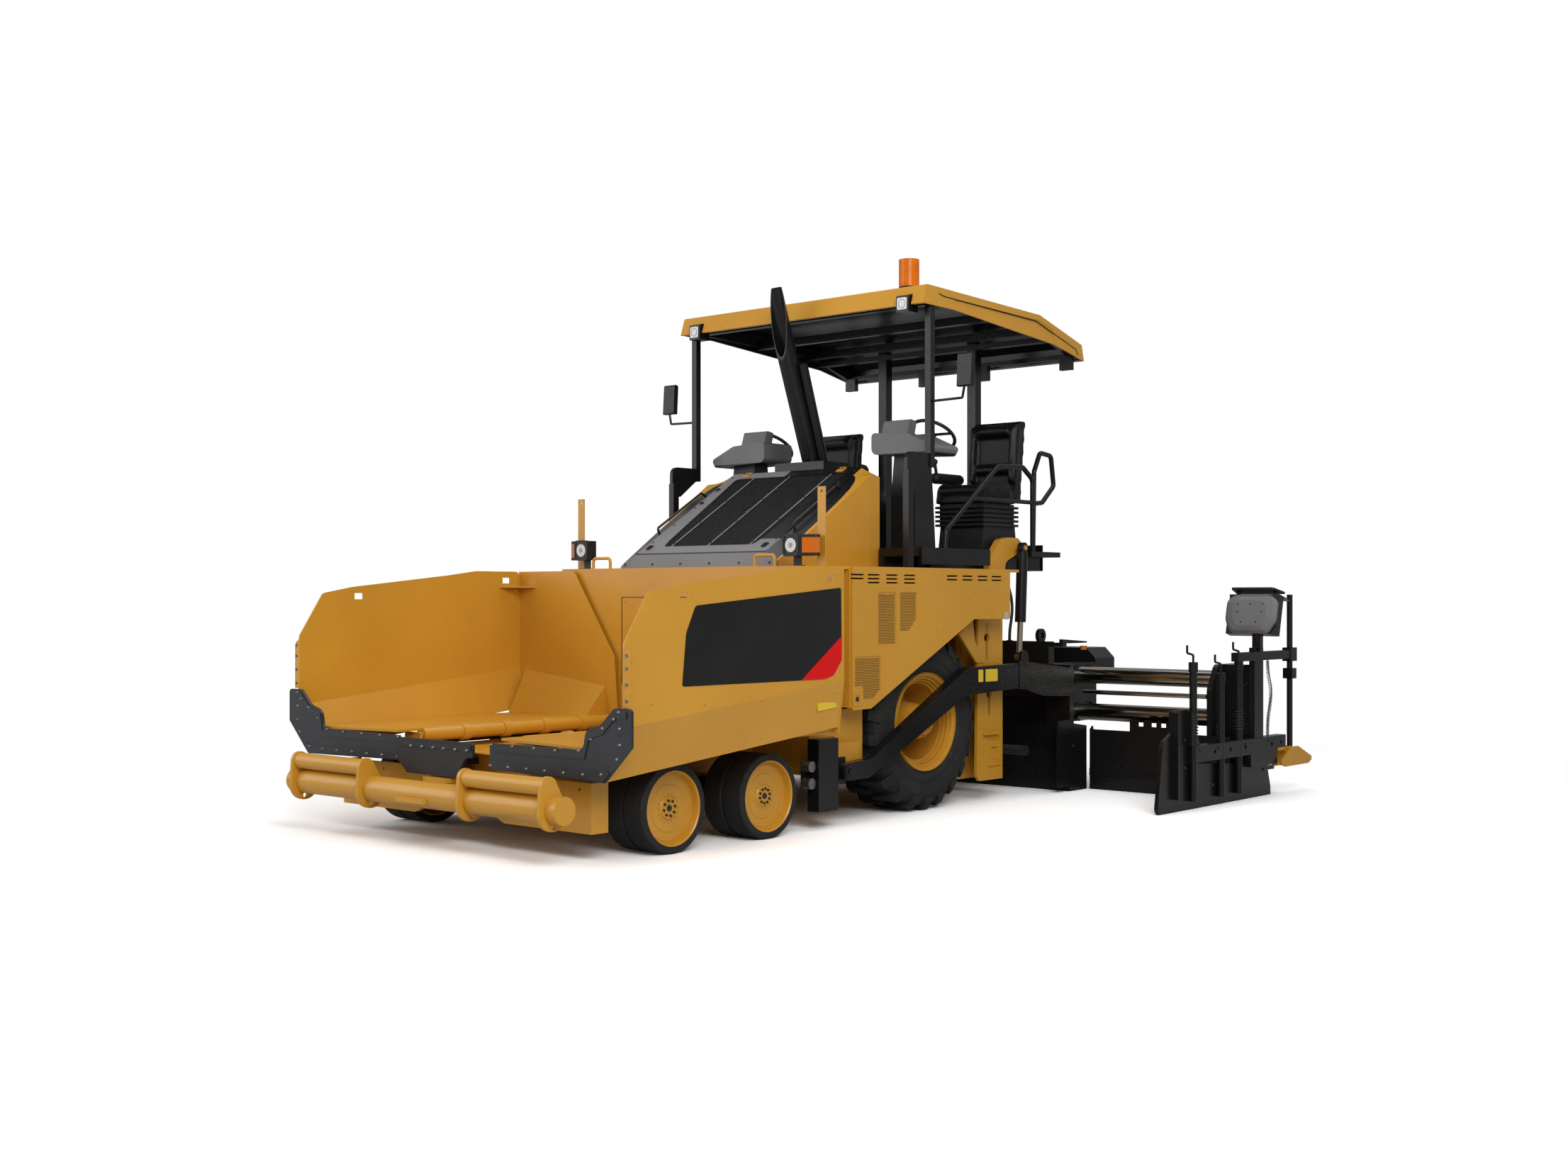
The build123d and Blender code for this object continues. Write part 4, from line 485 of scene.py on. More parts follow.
def softCorners(corners, radius, steps=4):
    # each corner of a flat outline becomes a small arc
    points = [Vector(corner) for corner in corners]
    result = []
    for index, corner in enumerate(points):
        before = points[index - 1] - corner
        after = points[(index + 1) % len(points)] - corner
        reach = min(radius, before.length * 0.45, after.length * 0.45)
        start = corner + before.normalized() * reach
        end = corner + after.normalized() * reach
        for step in range(steps + 1):
            share = step / steps
            result.append(start * (1 - share) ** 2 + corner * 2 * share * (1 - share) + end * share ** 2)
    return [tuple(point) for point in result]


def platesPiece(name, body, plates, look):
    def build(shape):
        for corners, push in plates:
            addPlate(shape, corners, push)
    return newPiece(name, meshFrom(name, build), body, look)


def flatPiece(name, body, corners, push, look):
    return platesPiece(name, body, [(corners, push)], look)


def sidePlate(name, body, outline, sign, x, thick, look, radius=0.008):
    # a thin flat sheet on a wall that faces sideways
    corners = softCorners([(sign * x, y, z) for y, z in outline], radius)
    return flatPiece(name, body, corners, (sign * thick, 0, 0), look)


def startTree(name, inputs):
    # a tree with a shape, then the named inputs; gives the inputs' identifiers and the sockets inside
    tree = bpy.data.node_groups.new(name, "GeometryNodeTree")
    tree.interface.new_socket("Geometry", in_out="INPUT", socket_type="NodeSocketGeometry")
    tree.interface.new_socket("Geometry", in_out="OUTPUT", socket_type="NodeSocketGeometry")
    keys = {}
    for label, kind in inputs:
        socket = tree.interface.new_socket(label, in_out="INPUT", socket_type="NodeSocket" + kind)
        keys[label] = socket.identifier
    return tree, keys, addNode(tree, "NodeGroupInput").outputs


def endTree(tree, start, shape):
    real = addNode(tree, "GeometryNodeRealizeInstances", {"Geometry": shape})
    paint = addNode(tree, "GeometryNodeSetMaterial", {
        "Geometry": real.outputs["Geometry"], "Material": start["Finish"]})
    addNode(tree, "NodeGroupOutput", {"Geometry": paint.outputs["Geometry"]})


def headTree():
    # a small head stands on every point, turned to the point's facing
    tree, keys, start = startTree("headsOnPoints", (
        ("Head radius", "Float"), ("Top radius", "Float"), ("Head height", "Float"), ("Sides", "Int"),
        ("Finish", "Material")))
    head = addNode(tree, "GeometryNodeMeshCone", {
        "Vertices": start["Sides"], "Radius Top": start["Top radius"], "Radius Bottom": start["Head radius"],
        "Depth": start["Head height"]})
    facing = addNode(tree, "GeometryNodeInputNamedAttribute", {"Name": "facing"}, data_type="FLOAT_VECTOR")
    turn = addNode(tree, "FunctionNodeAlignRotationToVector", {"Vector": facing.outputs["Attribute"]},
                   axis="Z")
    spread = addNode(tree, "GeometryNodeInstanceOnPoints", {
        "Points": start["Geometry"], "Instance": head.outputs["Mesh"], "Rotation": turn.outputs["Rotation"]})
    endTree(tree, start, spread.outputs["Instances"])
    return tree, keys


def barTree():
    # a round bar runs along every edge of the holder's mesh
    tree, keys, start = startTree("barsOnEdges", (
        ("Bar radius", "Float"), ("Sides", "Int"), ("Finish", "Material")))
    lines = addNode(tree, "GeometryNodeMeshToCurve", {"Mesh": start["Geometry"]})
    ring = addNode(tree, "GeometryNodeCurvePrimitiveCircle", {
        "Resolution": start["Sides"], "Radius": start["Bar radius"]})
    bars = addNode(tree, "GeometryNodeCurveToMesh", {
        "Curve": lines.outputs["Curve"], "Profile Curve": ring.outputs["Curve"], "Fill Caps": True})
    endTree(tree, start, bars.outputs["Mesh"])
    return tree, keys


headsOnPoints, headKeys = headTree()
barsOnEdges, barKeys = barTree()


def settled(obj):
    # the object keeps what its modifiers make of it as a plain mesh
    graph = bpy.context.evaluated_depsgraph_get()
    mesh = bpy.data.meshes.new_from_object(obj.evaluated_get(graph))
    mesh.name = obj.name
    obj.modifiers.clear()
    obj.data = mesh
    return mesh


def grown(name, points, edges, body, tree, values, facings=None):
    mesh = bpy.data.meshes.new(name)
    mesh.from_pydata(points, edges, [])
    if facings:
        mesh.attributes.new("facing", "FLOAT_VECTOR", "POINT")
        parts = [part for facing in facings for part in facing]
        mesh.attributes["facing"].data.foreach_set("vector", parts)
    holder = linked(name, mesh)
    modifier = holder.modifiers.new("build", "NODES")
    modifier.node_group = tree
    for key, value in values.items():
        modifier[key] = value
    mesh = settled(holder)
    painted = mesh.materials[-1]
    mesh.materials.clear()
    mesh.materials.append(painted)
    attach(holder, body)
    return holder


def touch(node, start, facing, reach=0.6):
    # the surface of a node met by a ray that comes against the facing direction, or None
    obj = nodeObjects[node]
    inverse = obj.matrix_world.inverted()
    way = Vector(facing).normalized()
    hit, spot, normal, face = obj.ray_cast(inverse @ (place(*start) + way * reach), -way)
    return obj.matrix_world @ spot if hit else None


def seated(node, spots, reach=0.6):
    # every (point, facing) is set down on the node's surface, and one that meets nothing is left out
    met = [(touch(node, point, facing, reach), facing) for point, facing in spots]
    return [((spot.x, spot.y - axleY, spot.z), facing) for spot, facing in met if spot is not None]


# the small heads: radius, height, look, number of sides, the top's share of the radius
heads = {
    "lidBolts": (0.0075, 0.005, "darkSteel", 6, 0.85),
    "hingeTabBolts": (0.009, 0.007, "boltSteel", 6, 0.85),
    "lipBolts": (0.009, 0.006, "darkSteel", 6, 0.85),
    "framePads": (0.017, 0.010, "blackPlastic", 12, 0.9),
    "apronBolts": (0.0115, 0.007, "boltSteel", 12, 0.55),
    "flangeBolts": (0.010, 0.007, "boltSteel", 6, 0.85),
    "wallBolts": (0.0110, 0.007, "goldPaint", 12, 0.6),
    "centreFlapBolts": (0.0115, 0.007, "boltSteel", 12, 0.55),
    "accessBolts": (0.010, 0.006, "goldPaint", 6, 0.85),
    "bumperBolts": (0.012, 0.008, "goldPaint", 6, 0.85),
    "rollerBolts": (0.006, 0.004, "boltSteel", 6, 0.85),
    "_nuts": (0.0085, 0.010, "darkSteel", 6, 0.85),
    "_studs": (0.0065, 0.006, "goldPaint", 8, 0.85),
    "_cap": (0.020, 0.006, "darkSteel", 20, 0.85),
    "hubBolts": (0.013, 0.014, "goldPaint", 12, 0.7),
    "wheelNuts": (0.016, 0.020, "goldPaint", 6, 0.85),
    "hubCapBolts": (0.007, 0.006, "goldPaint", 10, 0.7),
    # flat near black discs: painted shade in the vent holes
    "ventHoleShades": (0.0042, 0.0006, "shadeAndSeamBlack", 6, 1.0),
    "doorBolts": (0.008, 0.004, "goldPaint", 12, 0.6),
    "columnBolts": (0.011, 0.007, "goldPaint", 6, 0.85),
    "armBolts": (0.012, 0.009, "darkSteel", 6, 0.85),
    "bossPin": (0.008, 0.006, "darkSteel", 6, 0.85),
    "canopyRivets": (0.008, 0.004, "goldPaint", 10, 0.6),
    "tubeCapBolts": (0.007, 0.005, "darkSteel", 6, 0.85),
    "gateBolts": (0.012, 0.008, "darkSteel", 6, 0.85),
    "screedBolts": (0.012, 0.008, "darkSteel", 6, 0.85),
    "displayScrews": (0.007, 0.005, "darkSteel", 10, 0.7)}
# the thin bars: radius, look, number of sides
bars = {
    "grilleWires": (0.0016, "wireDark", 4),
    "accessSeam": (0.0028, "shadeAndSeamBlack", 6),
    "_rings": (0.0030, "goldPaint", 6),
    "rimRings": (0.0035, "goldPaint", 6),
    "tyreRings": (0.0030, "tyreRubber", 6),
    "headLensRibs": (0.0014, "lensGlassAndHighlight", 6),
    "workRings": (0.0014, "darkSteel", 6),
    "beaconRibs": (0.0035, "amberGlass", 6),
    "canopySeams": (0.0040, "shadeAndSeamBlack", 6),
    "postSprings": (0.0035, "darkSteel", 6)}


def rowFor(table, name):
    # the row whose name stands in the piece's name
    return next(row for kind, row in table.items() if kind in name)


def addHeads(name, body, spots):
    if not spots:
        print("no surface under", name)
        return None
    radius, height, look, sides, top = rowFor(heads, name)
    values = {"Head radius": radius, "Top radius": radius * top, "Head height": height, "Sides": sides,
              "Finish": materials[look]}
    return grown(name, [place(*point) for point, facing in spots], [], body, headsOnPoints,
                 {headKeys[label]: value for label, value in values.items()},
                 [facing for point, facing in spots])


def addBolts(name, body, node, spots, reach=0.6):
    return addHeads(name, body, seated(node, spots, reach))


def addBars(name, body, lines):
    # lines: lists of points in metres from the axle
    radius, look, sides = rowFor(bars, name)
    points, edges = [], []
    for line in lines:
        first = len(points)
        points.extend(place(*point) for point in line)
        edges.extend((index, index + 1) for index in range(first, len(points) - 1))
    values = {"Bar radius": radius, "Sides": sides, "Finish": materials[look]}
    return grown(name, points, edges, body, barsOnEdges,
                 {barKeys[label]: value for label, value in values.items()})


def outward(sign, x, pairs):
    return [((sign * x, y, z), (sign, 0, 0)) for y, z in pairs]


def forward(y, pairs):
    return [((x, y, z), (0, -1, 0)) for x, z in pairs]


def ringSpots(middle, radius, count, sign, phase=0.0, x=1.5):
    return outward(sign, x, [(middle[0] + dy, middle[1] + dz) for dy, dz in circle(radius, count, phase)])


def ringLines(node, middle, radii, sign, steps=48):
    # circles that lie on the node's surface, at the depth that a ray meets there
    lines = []
    for radius in radii:
        spot = touch(node, (sign * 1.5, middle[0] + radius, middle[1]), (sign, 0, 0), wheels["reach"])
        lines.append([(spot.x, middle[0] + dy, middle[1] + dz) for dy, dz in circle(radius, steps, closed=True)])
    return lines


def middleOf(node):
    low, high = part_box(node)
    return ((low.y + high.y) / 2 - axleY, (low.z + high.z) / 2)


# Hood: wire grille, hinges, bolts, side rails' feet; lengths in metres, along the slope from its front edge
hood = {"front": (-1.120, 1.826), "rear": (-0.075, 2.456), "wireGap": 0.022, "wireDepth": 0.0075,
        "wireRise": 1.04, "wireHalf": 0.53, "wireTop": 1.134, "wireStart": 0.098, "layerGap": 0.003,
        "edgeGap": 0.004}
# the grille's half width at its foot, its knee and its top, each after the distance up the slope
grilleFoot, grilleKnee, grilleTop = (0.095, 0.431), (0.196, 0.458), (1.137, 0.540)
hoodLength = math.hypot(hood["rear"][0] - hood["front"][0], hood["rear"][1] - hood["front"][1])
hoodCos = (hood["rear"][0] - hood["front"][0]) / hoodLength
hoodSin = (hood["rear"][1] - hood["front"][1]) / hoodLength
hoodUp = (0, -hoodSin, hoodCos)
tabs = {"x": 0.463, "half": 0.03, "low": 1.15, "high": 1.212, "thick": 0.009, "boltShift": 0.014,
        "boltAt": 1.182}
lipFacing = (0, -0.88, 0.48)


def onHood(x, along, out=0.0):
    y, z = hood["front"]
    return (x, y + along * hoodCos - out * hoodSin, z + along * hoodSin + out * hoodCos)


def interpolated(value, low, high):
    return low[1] + (value - low[0]) / (high[0] - low[0]) * (high[1] - low[1])


def grilleHalf(along):
    ends = (grilleFoot, grilleKnee) if along < grilleKnee[0] else (grilleKnee, grilleTop)
    return interpolated(along, *ends)


def grilleLow(x):
    if x < grilleFoot[1]:
        return hood["wireStart"]
    if x > grilleKnee[1]:
        return interpolated(x, grilleKnee[::-1], grilleTop[::-1])
    return interpolated(x, grilleFoot[::-1], grilleKnee[::-1]) + hood["wireStart"] - grilleFoot[0]


def buildHood():
    gap, depth = hood["wireGap"], -hood["wireDepth"]
    wires = []
    for index in range(1, int(hood["wireRise"] / gap)):
        along = grilleFoot[0] + index * gap
        half = grilleHalf(along) - hood["edgeGap"]
        wires.append([onHood(-half, along, depth), onHood(half, along, depth)])
    columns = int(hood["wireHalf"] / gap)
    for x in [index * gap for index in range(-columns, columns + 1)]:
        ends = (grilleLow(abs(x)), hood["wireTop"])
        wires.append([onHood(x, along, depth + hood["layerGap"]) for along in ends])
    addBars("grilleWires", "hood_lid", wires)
    spots = [(onHood(x, along, -0.002), hoodUp) for x in (-0.36, 0.0, 0.40)
             for along in (0.14, 0.45, 0.78, 1.10)]
    spots += [(onHood(x, along), hoodUp) for x in (0.60, -0.60) for along in (0.16, 0.42, 0.68, 0.94, 1.16)]
    addBolts("lidBolts", "hood_lid", "hood_lid", spots)
    tabPlates = []
    for x in (tabs["x"], -tabs["x"]):
        corners = [(x - tabs["half"], tabs["low"]), (x + tabs["half"], tabs["low"]),
                   (x + tabs["half"], tabs["high"]), (x - tabs["half"], tabs["high"])]
        push = [tabs["thick"] * part for part in hoodUp]
        tabPlates.append(([onHood(*corner, 0.001) for corner in corners], push))
    platesPiece("hingeTabs", "hood_lid", tabPlates, "goldPaint")
    addHeads("hingeTabBolts", "hood_lid", [
        (onHood(x + shift, tabs["boltAt"], 0.010), hoodUp) for x in (tabs["x"], -tabs["x"])
        for shift in (-tabs["boltShift"], tabs["boltShift"])])
    addHeads("lipBolts", "tractor", [((x, -1.1665, 1.745), lipFacing)
                                     for x in (-0.70, -0.42, -0.14, 0.14, 0.42, 0.70)])
    feet = [((x, y, hood["front"][1] + (y - hood["front"][0]) * hoodSin / hoodCos), hoodUp)
            for x in (0.59, -0.59) for y in (-0.476, -0.294)]
    addHeads("framePads", "hood_lid", feet)


# Hopper: bolt rows on the aprons, flange and wall bolts, side panels with the stripe, sill, shelves, seals
hopper = {"wallX": 1.5605, "panelThick": 0.0022, "sheet": 0.006, "sealX": 0.600, "sealThick": 0.004}
panelOutline = ((-2.776, 1.462), (-1.460, 1.570), (-1.454, 1.115), (-1.534, 1.022), (-1.618, 1.000),
                (-2.886, 1.002), (-2.853, 1.307))
stripeOutline = ((-1.4545, 1.267), (-1.4545, 1.115), (-1.534, 1.022), (-1.618, 1.0005), (-1.846, 1.0005))
wallDecal = ((-1.665, 0.862), (-1.480, 0.880), (-1.480, 0.818), (-1.665, 0.800))
apronSpots = (
    (0.45, 0.52), (0.61, 0.52), (0.77, 0.52), (0.93, 0.52), (1.09, 0.52), (1.25, 0.52), (1.40, 0.53),
    (0.45, 0.642), (0.64, 0.642), (0.83, 0.642), (1.02, 0.642), (1.21, 0.65), (1.31, 0.72), (1.41, 0.785),
    (1.50, 0.84), (1.54, 0.88), (1.52, 0.62), (1.543, 0.70), (1.543, 0.79))
wallSpots = ((-3.29, 1.16), (-3.29, 0.98), (-3.13, 0.92), (-2.70, 0.90), (-2.20, 0.90), (-1.49, 1.66),
             (-1.49, 0.92))
# name, x and y of two opposite corners, height
floorSheets = (("hopperSill", (-0.44, -3.332), (0.44, -3.206), 0.577),
               ("hopperShelf_left", (0.56, -1.470), (1.105, -1.402), 0.600),
               ("hopperShelf_right", (-1.105, -1.470), (-0.56, -1.402), 0.600))
sealOutline = ((-3.12, 0.566), (-1.45, 0.566), (-1.45, 0.602), (-3.12, 0.602))
seamOutline = ((-0.49, 0.90), (-0.49, 1.51), (0.49, 1.51), (0.49, 0.90))


def buildHopper():
    panelX, thick = hopper["wallX"], hopper["panelThick"]
    for side, sign in bothSides:
        body = "hopper_wing_" + side
        rows = forward(-3.36, [(sign * x, z) for x, z in apronSpots])
        addBolts("apronBolts_" + side, body, "hopper_apron_" + side, rows)
        edge = forward(-3.34, [(sign * 1.581, z) for z in (0.94, 1.03, 1.12, 1.19)])
        addBolts("flangeBolts_" + side, body, body, edge)
        addBolts("wallBolts_" + side, body, body, outward(sign, 1.57, wallSpots))
        sidePlate("sidePanel_" + side, body, panelOutline, sign, panelX, thick, "blackPaint", 0.02)
        sidePlate("redStripe_" + side, body, stripeOutline, sign, panelX + thick, 0.0012, "stripeRed", 0.006)
        spot = touch(body, (sign * 1.57, -1.57, 0.84), (sign, 0, 0))
        sidePlate("wallDecal_" + side, body, wallDecal, sign, abs(spot.x) + 0.0004, 0.0014, "signYellow")
    for name, low, high, z in floorSheets:
        corners = [(low[0], low[1], z), (high[0], low[1], z), (high[0], high[1], z), (low[0], high[1], z)]
        flatPiece(name, "tractor", softCorners(corners, 0.006), (0, 0, hopper["sheet"]), "goldPaint")
    for side, sign in bothSides:
        strip = [(sign * hopper["sealX"], y, z) for y, z in sealOutline]
        flatPiece("wingSeal_" + side, "tractor", strip, (sign * hopper["sealThick"], 0, 0), "hoseRubber")
    flap = forward(-3.39, [(x, 0.600) for x in (-0.27, -0.16, -0.05, 0.05, 0.16, 0.27)])
    addBolts("centreFlapBolts", "tractor", "apron_centre", flap)
    addBars("accessSeam", "tractor", [[(x, -1.4010, z) for x, z in seamOutline]])
    corners = forward(-1.40, [(x, z) for x in (-0.455, 0.455) for z in (0.94, 1.21, 1.48)])
    addBolts("accessBolts", "tractor", "deck", corners)


# Front and wheels: bumper bolts, push rollers, nuts and rings of every wheel
wheels = {"reach": 2.0, "nutRing": 0.046, "studRing": 0.082, "discRings": (0.194, 0.140),
          "rimRings": (0.300, 0.325), "tyreRings": (0.405, 0.520)}


def buildFront():
    spots = forward(-3.24, [(x, z) for x in (-1.14, -0.90, -0.38, 0.38, 0.90, 1.14) for z in (0.50, 0.335)])
    addBolts("bumperBolts", "tractor", "front_bumper", spots)
    for side, sign in bothSides:
        roller = "push_roller_" + side
        low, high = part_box(roller)
        for number, way, face in ((1, -1, low.x), (2, 1, high.x)):
            ring = ringSpots(middleOf(roller), 0.030, 6, way, x=way * face)
            addBolts("rollerBolts_%s_%d" % (side, number), roller, roller, ring, 0.3)
        for node, count in (("bogie_wheel_front_" + side, 8), ("bogie_wheel_rear_" + side, 10)):
            middle = middleOf(node)
            nuts = ringSpots(middle, wheels["nutRing"], count, sign, 0.2)
            addBolts(node + "_nuts", node, node, nuts, wheels["reach"])
            studs = ringSpots(middle, wheels["studRing"], 16, sign)
            addBolts(node + "_studs", node, node, studs, wheels["reach"])
            addBars(node + "_rings", node, ringLines(node, middle, wheels["discRings"], sign))
            addBolts(node + "_cap", node, node, outward(sign, 1.5, [middle]), wheels["reach"])


# name, ring's radius, number, first angle
rimHeads = (("hubBolts_", 0.112, 10, 0.1), ("wheelNuts_", 0.240, 12, 0.0), ("hubCapBolts_", 0.060, 6, 0.0))
valve = {"rise": 0.262, "radius": 0.006, "length": 0.050, "out": 0.024}


def buildRearWheels():
    for side, sign in bothSides:
        rim, body = "rear_rim_" + side, "rear_wheel_" + side
        middle = middleOf(rim)
        for name, ring, count, phase in rimHeads:
            spots = ringSpots(middle, ring, count, sign, phase)
            addBolts(name + side, body, rim, spots, wheels["reach"])
        addBars("rimRings_" + side, body, ringLines(rim, middle, wheels["rimRings"], sign))
        addBars("tyreRings_" + side, body, ringLines("rear_tyre_" + side, middle, wheels["tyreRings"], sign, 72))
        spot = touch(rim, (sign * 1.5, 0.0, middle[1] + valve["rise"]), (sign, 0, 0), wheels["reach"])
        spot.x += sign * valve["out"]
        roundPiece("tyreValve_" + side, body, spot, valve["radius"], valve["length"], 12, "wornSteel",
                   sideways)


# Service doors: perforated vents as rows of small flat dark discs in each recessed panel, painted shade for the
# holes, bolts, lock, label, and a black sheet behind the louvres as painted shade
vents = {"gap": 0.0125, "rowGap": 0.87 * 0.0125, "margin": 0.011, "faceX": 1.2702}
ventOutlines = (
    ((-0.715, 1.545), (-0.514, 1.545), (-0.514, 1.177), (-0.715, 1.177)),
    ((-0.474, 1.545), (-0.28, 1.545), (-0.28, 1.35), (-0.368, 1.262), (-0.474, 1.262)),
    ((-0.965, 1.115), (-0.685, 1.115), (-0.685, 0.882), (-0.768, 0.815), (-0.88, 0.815), (-0.88, 0.905),
     (-0.965, 0.905)))
doorSpots = ((-0.985, 1.525), (-0.60, 1.53), (-0.20, 1.53), (0.35, 1.53), (0.80, 1.53), (-0.985, 1.20),
             (-0.62, 0.90), (0.90, 1.36), (0.0, 1.30))
louvreShadeSheet = ((-0.97, 1.600), (0.85, 1.600), (0.85, 1.690), (-0.97, 1.690))
doorLabel = ((0.800, 1.398), (0.850, 1.398), (0.850, 1.345), (0.800, 1.345))
lock = {"y": -0.942, "z": 0.835, "radius": 0.016, "depth": 0.010, "slotHalf": 0.003, "slotRise": 0.012,
        "slotDepth": 0.009}


def insideOutline(y, z, outline, margin):
    # the point is in the outline and no nearer than the margin to any edge
    inside = False
    for index, (y1, z1) in enumerate(outline):
        y2, z2 = outline[(index + 1) % len(outline)]
        if (z1 > z) != (z2 > z) and y < (y2 - y1) * (z - z1) / (z2 - z1) + y1:
            inside = not inside
        edge = Vector((y2 - y1, z2 - z1))
        share = max(0.0, min(1.0, Vector((y - y1, z - z1)).dot(edge) / edge.length_squared))
        if math.hypot(y - y1 - edge.x * share, z - z1 - edge.y * share) < margin:
            return False
    return inside


def holeSpots(outline, sign):
    low, high = [[limit(point[axis] for point in outline) for axis in (0, 1)] for limit in (min, max)]
    spots = []
    for row in range(int((high[1] - low[1]) / vents["rowGap"]) + 1):
        for column in range(int((high[0] - low[0]) / vents["gap"]) + 1):
            y = low[0] + (column + 0.5 * (row % 2)) * vents["gap"]
            z = low[1] + row * vents["rowGap"]
            if insideOutline(y, z, outline, vents["margin"]):
                spots.append((y, z))
    return outward(sign, vents["faceX"], spots)


def buildDoors():
    for side, sign in bothSides:
        door = "service_door_" + side
        spots = [spot for outline in ventOutlines for spot in holeSpots(outline, sign)]
        addHeads("ventHoleShades_" + side, door, spots)
        addBolts("doorBolts_" + side, door, door, outward(sign, 1.28, doorSpots))

        def lockShape(shape):
            spot = touch(door, (sign * 1.28, lock["y"], lock["z"]), (sign, 0, 0))
            addRound(shape, spot, lock["radius"], lock["depth"], 20, sideways)
            half, rise = lock["slotHalf"], lock["slotRise"]
            slot = ((-half, -rise), (half, -rise), (half, rise), (-half, rise))
            corners = [(spot.x, spot.y - axleY + y, spot.z + z) for y, z in slot]
            addPlate(shape, corners, (sign * lock["slotDepth"], 0, 0))
        newPiece("doorLock_" + side, meshFrom("doorLock_" + side, lockShape), door, "darkSteel")
        # a near black sheet behind the louvres: painted shade in their gaps
        sidePlate("louvreBacking_" + side, "tractor", louvreShadeSheet, sign, 1.2590, 0.0015, "shadeAndSeamBlack")
        sidePlate("doorLabel_" + side, door, doorLabel, sign, 1.2754, 0.0012, "palePaint", 0.006)


# Rear columns, tow arms
columnSpots = ((0.70, 1.44), (0.96, 1.44), (0.96, 1.02), (0.96, 0.40), (0.96, 0.30), (0.72, 0.30))
armSpots = ((1.020, 1.006), (1.098, 1.006), (1.020, 0.847), (1.098, 0.847))
armDecals = (((0.470, 0.985), (0.530, 0.985), (0.530, 0.895), (0.470, 0.895)),
             ((0.560, 0.985), (0.715, 0.985), (0.715, 0.895), (0.560, 0.895)))
towPin = (-1.005, 0.356)


def buildColumns():
    for side, sign in bothSides:
        addBolts("columnBolts_" + side, "tractor", "rear_columns", outward(sign, 1.12, columnSpots))
        addBolts("armBolts_" + side, "screed", "tow_arms", outward(sign, 1.28, armSpots))
        pin = ringSpots(towPin, 0.032, 4, sign, 0.4, 1.28)
        addBolts("bossPin_" + side, "screed", "tow_arms", pin)
        for number, outline in enumerate(armDecals, 1):
            sidePlate("armDecal_%s_%d" % (side, number), "screed", outline, sign, 1.2704, 0.0012,
                      "signYellow")


# Lamps and glass
lamps = {"x": 1.014, "z": 1.852, "ribY": -1.3150, "ribHalf": 0.040, "workHalf": 0.042, "workRing": 0.030,
         "beaconShare": 0.90}
# the lens disc's white is partly a painted highlight
# name, radius, the disc's place, look
headDiscs = (("headBowl_", 0.054, -1.3105, "tubeChrome"), ("headLens_", 0.046, -1.3125, "lensGlassAndHighlight"),
             ("headBulb_", 0.016, -1.3145, "boltSteel"))
# number, place, thickness along y
workLamps = ((1, 1.0205, -0.1135, 3.588, -0.003), (2, 1.0925, 1.9725, 3.366, 0.003),
             (3, 0.300, 1.9725, 3.350, 0.003))
mirrorCorners = ((1.402, 0.0745, 3.010), (1.498, 0.0745, 3.010), (1.498, 0.0845, 3.190),
                 (1.402, 0.0845, 3.190))
square = ((-1, 1), (1, 1), (1, -1), (-1, -1))
tailLamp = (1.150, 2.110, 1.106)


def buildLamps():
    for side, sign in bothSides:
        x, z = sign * lamps["x"], lamps["z"]
        for name, radius, y, look in headDiscs:
            disc = [(x + dx, y, z + dz) for dx, dz in circle(radius, 40)]
            flatPiece(name + side, "tractor", disc, (0, -0.002, 0), look)
        ribs = [[(x + dx, lamps["ribY"], z + dz) for dz in (-lamps["ribHalf"], lamps["ribHalf"])]
                for dx in (-0.024, -0.012, 0.0, 0.012, 0.024)]
        addBars("headLensRibs_" + side, "tractor", ribs)
        for number, x, y, z, push in workLamps:
            half = lamps["workHalf"]
            corners = softCorners([(sign * (x + dx * half), y, z + dz * half) for dx, dz in square], 0.012)
            flatPiece("workLens_%s_%d" % (side, number), "tractor", corners, (0, push, 0), "lensGlassAndHighlight")
            ring = [(sign * x + dx, y + push * 1.2, z + dz)
                    for dx, dz in circle(lamps["workRing"], 24, closed=True)]
            addBars("workRings_%s_%d" % (side, number), "tractor", [ring])
        mirror = [(sign * x, y, z) for x, y, z in mirrorCorners]
        flatPiece("mirrorGlass_" + side, "tractor", mirror, (0, 0.002, 0), "mirrorFace")
        spot = place(sign * tailLamp[0], *tailLamp[1:])
        roundPiece("shelfLamp_" + side, "screed", spot, 0.024, 0.032, 24, "amberGlass", top=0.028)
    low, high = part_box("beacon")
    middle = ((low.x + high.x) / 2, (low.y + high.y) / 2 - axleY)
    radius = min(high.x - low.x, high.y - low.y) / 2 * lamps["beaconShare"]
    ribs = [[(middle[0] + dx, middle[1] + dy, low.z + share * (high.z - low.z))
             for dx, dy in circle(radius, 24, closed=True)] for share in (0.35, 0.45, 0.55, 0.65, 0.75, 0.85)]
    addBars("beaconRibs", "tractor", ribs)


# Canopy: seam along each side, rivets
canopySeam = ((0.10, 3.668), (0.16, 3.655), (1.36, 3.622), (1.93, 3.468), (1.965, 3.425))
canopyRivets = (-1.05, -0.70, -0.35, 0.0, 0.35, 0.70, 1.05)


def buildCanopy():
    seams = [[(x, y, z) for y, z in canopySeam] for x in (1.1885, -1.1885)]
    addBars("canopySeams", "tractor", seams)
    rivets = [((x, -0.09, 3.66), (0, -1, 0.35)) for x in canopyRivets]
    addBolts("canopyRivets", "tractor", "canopy_roof", rivets)


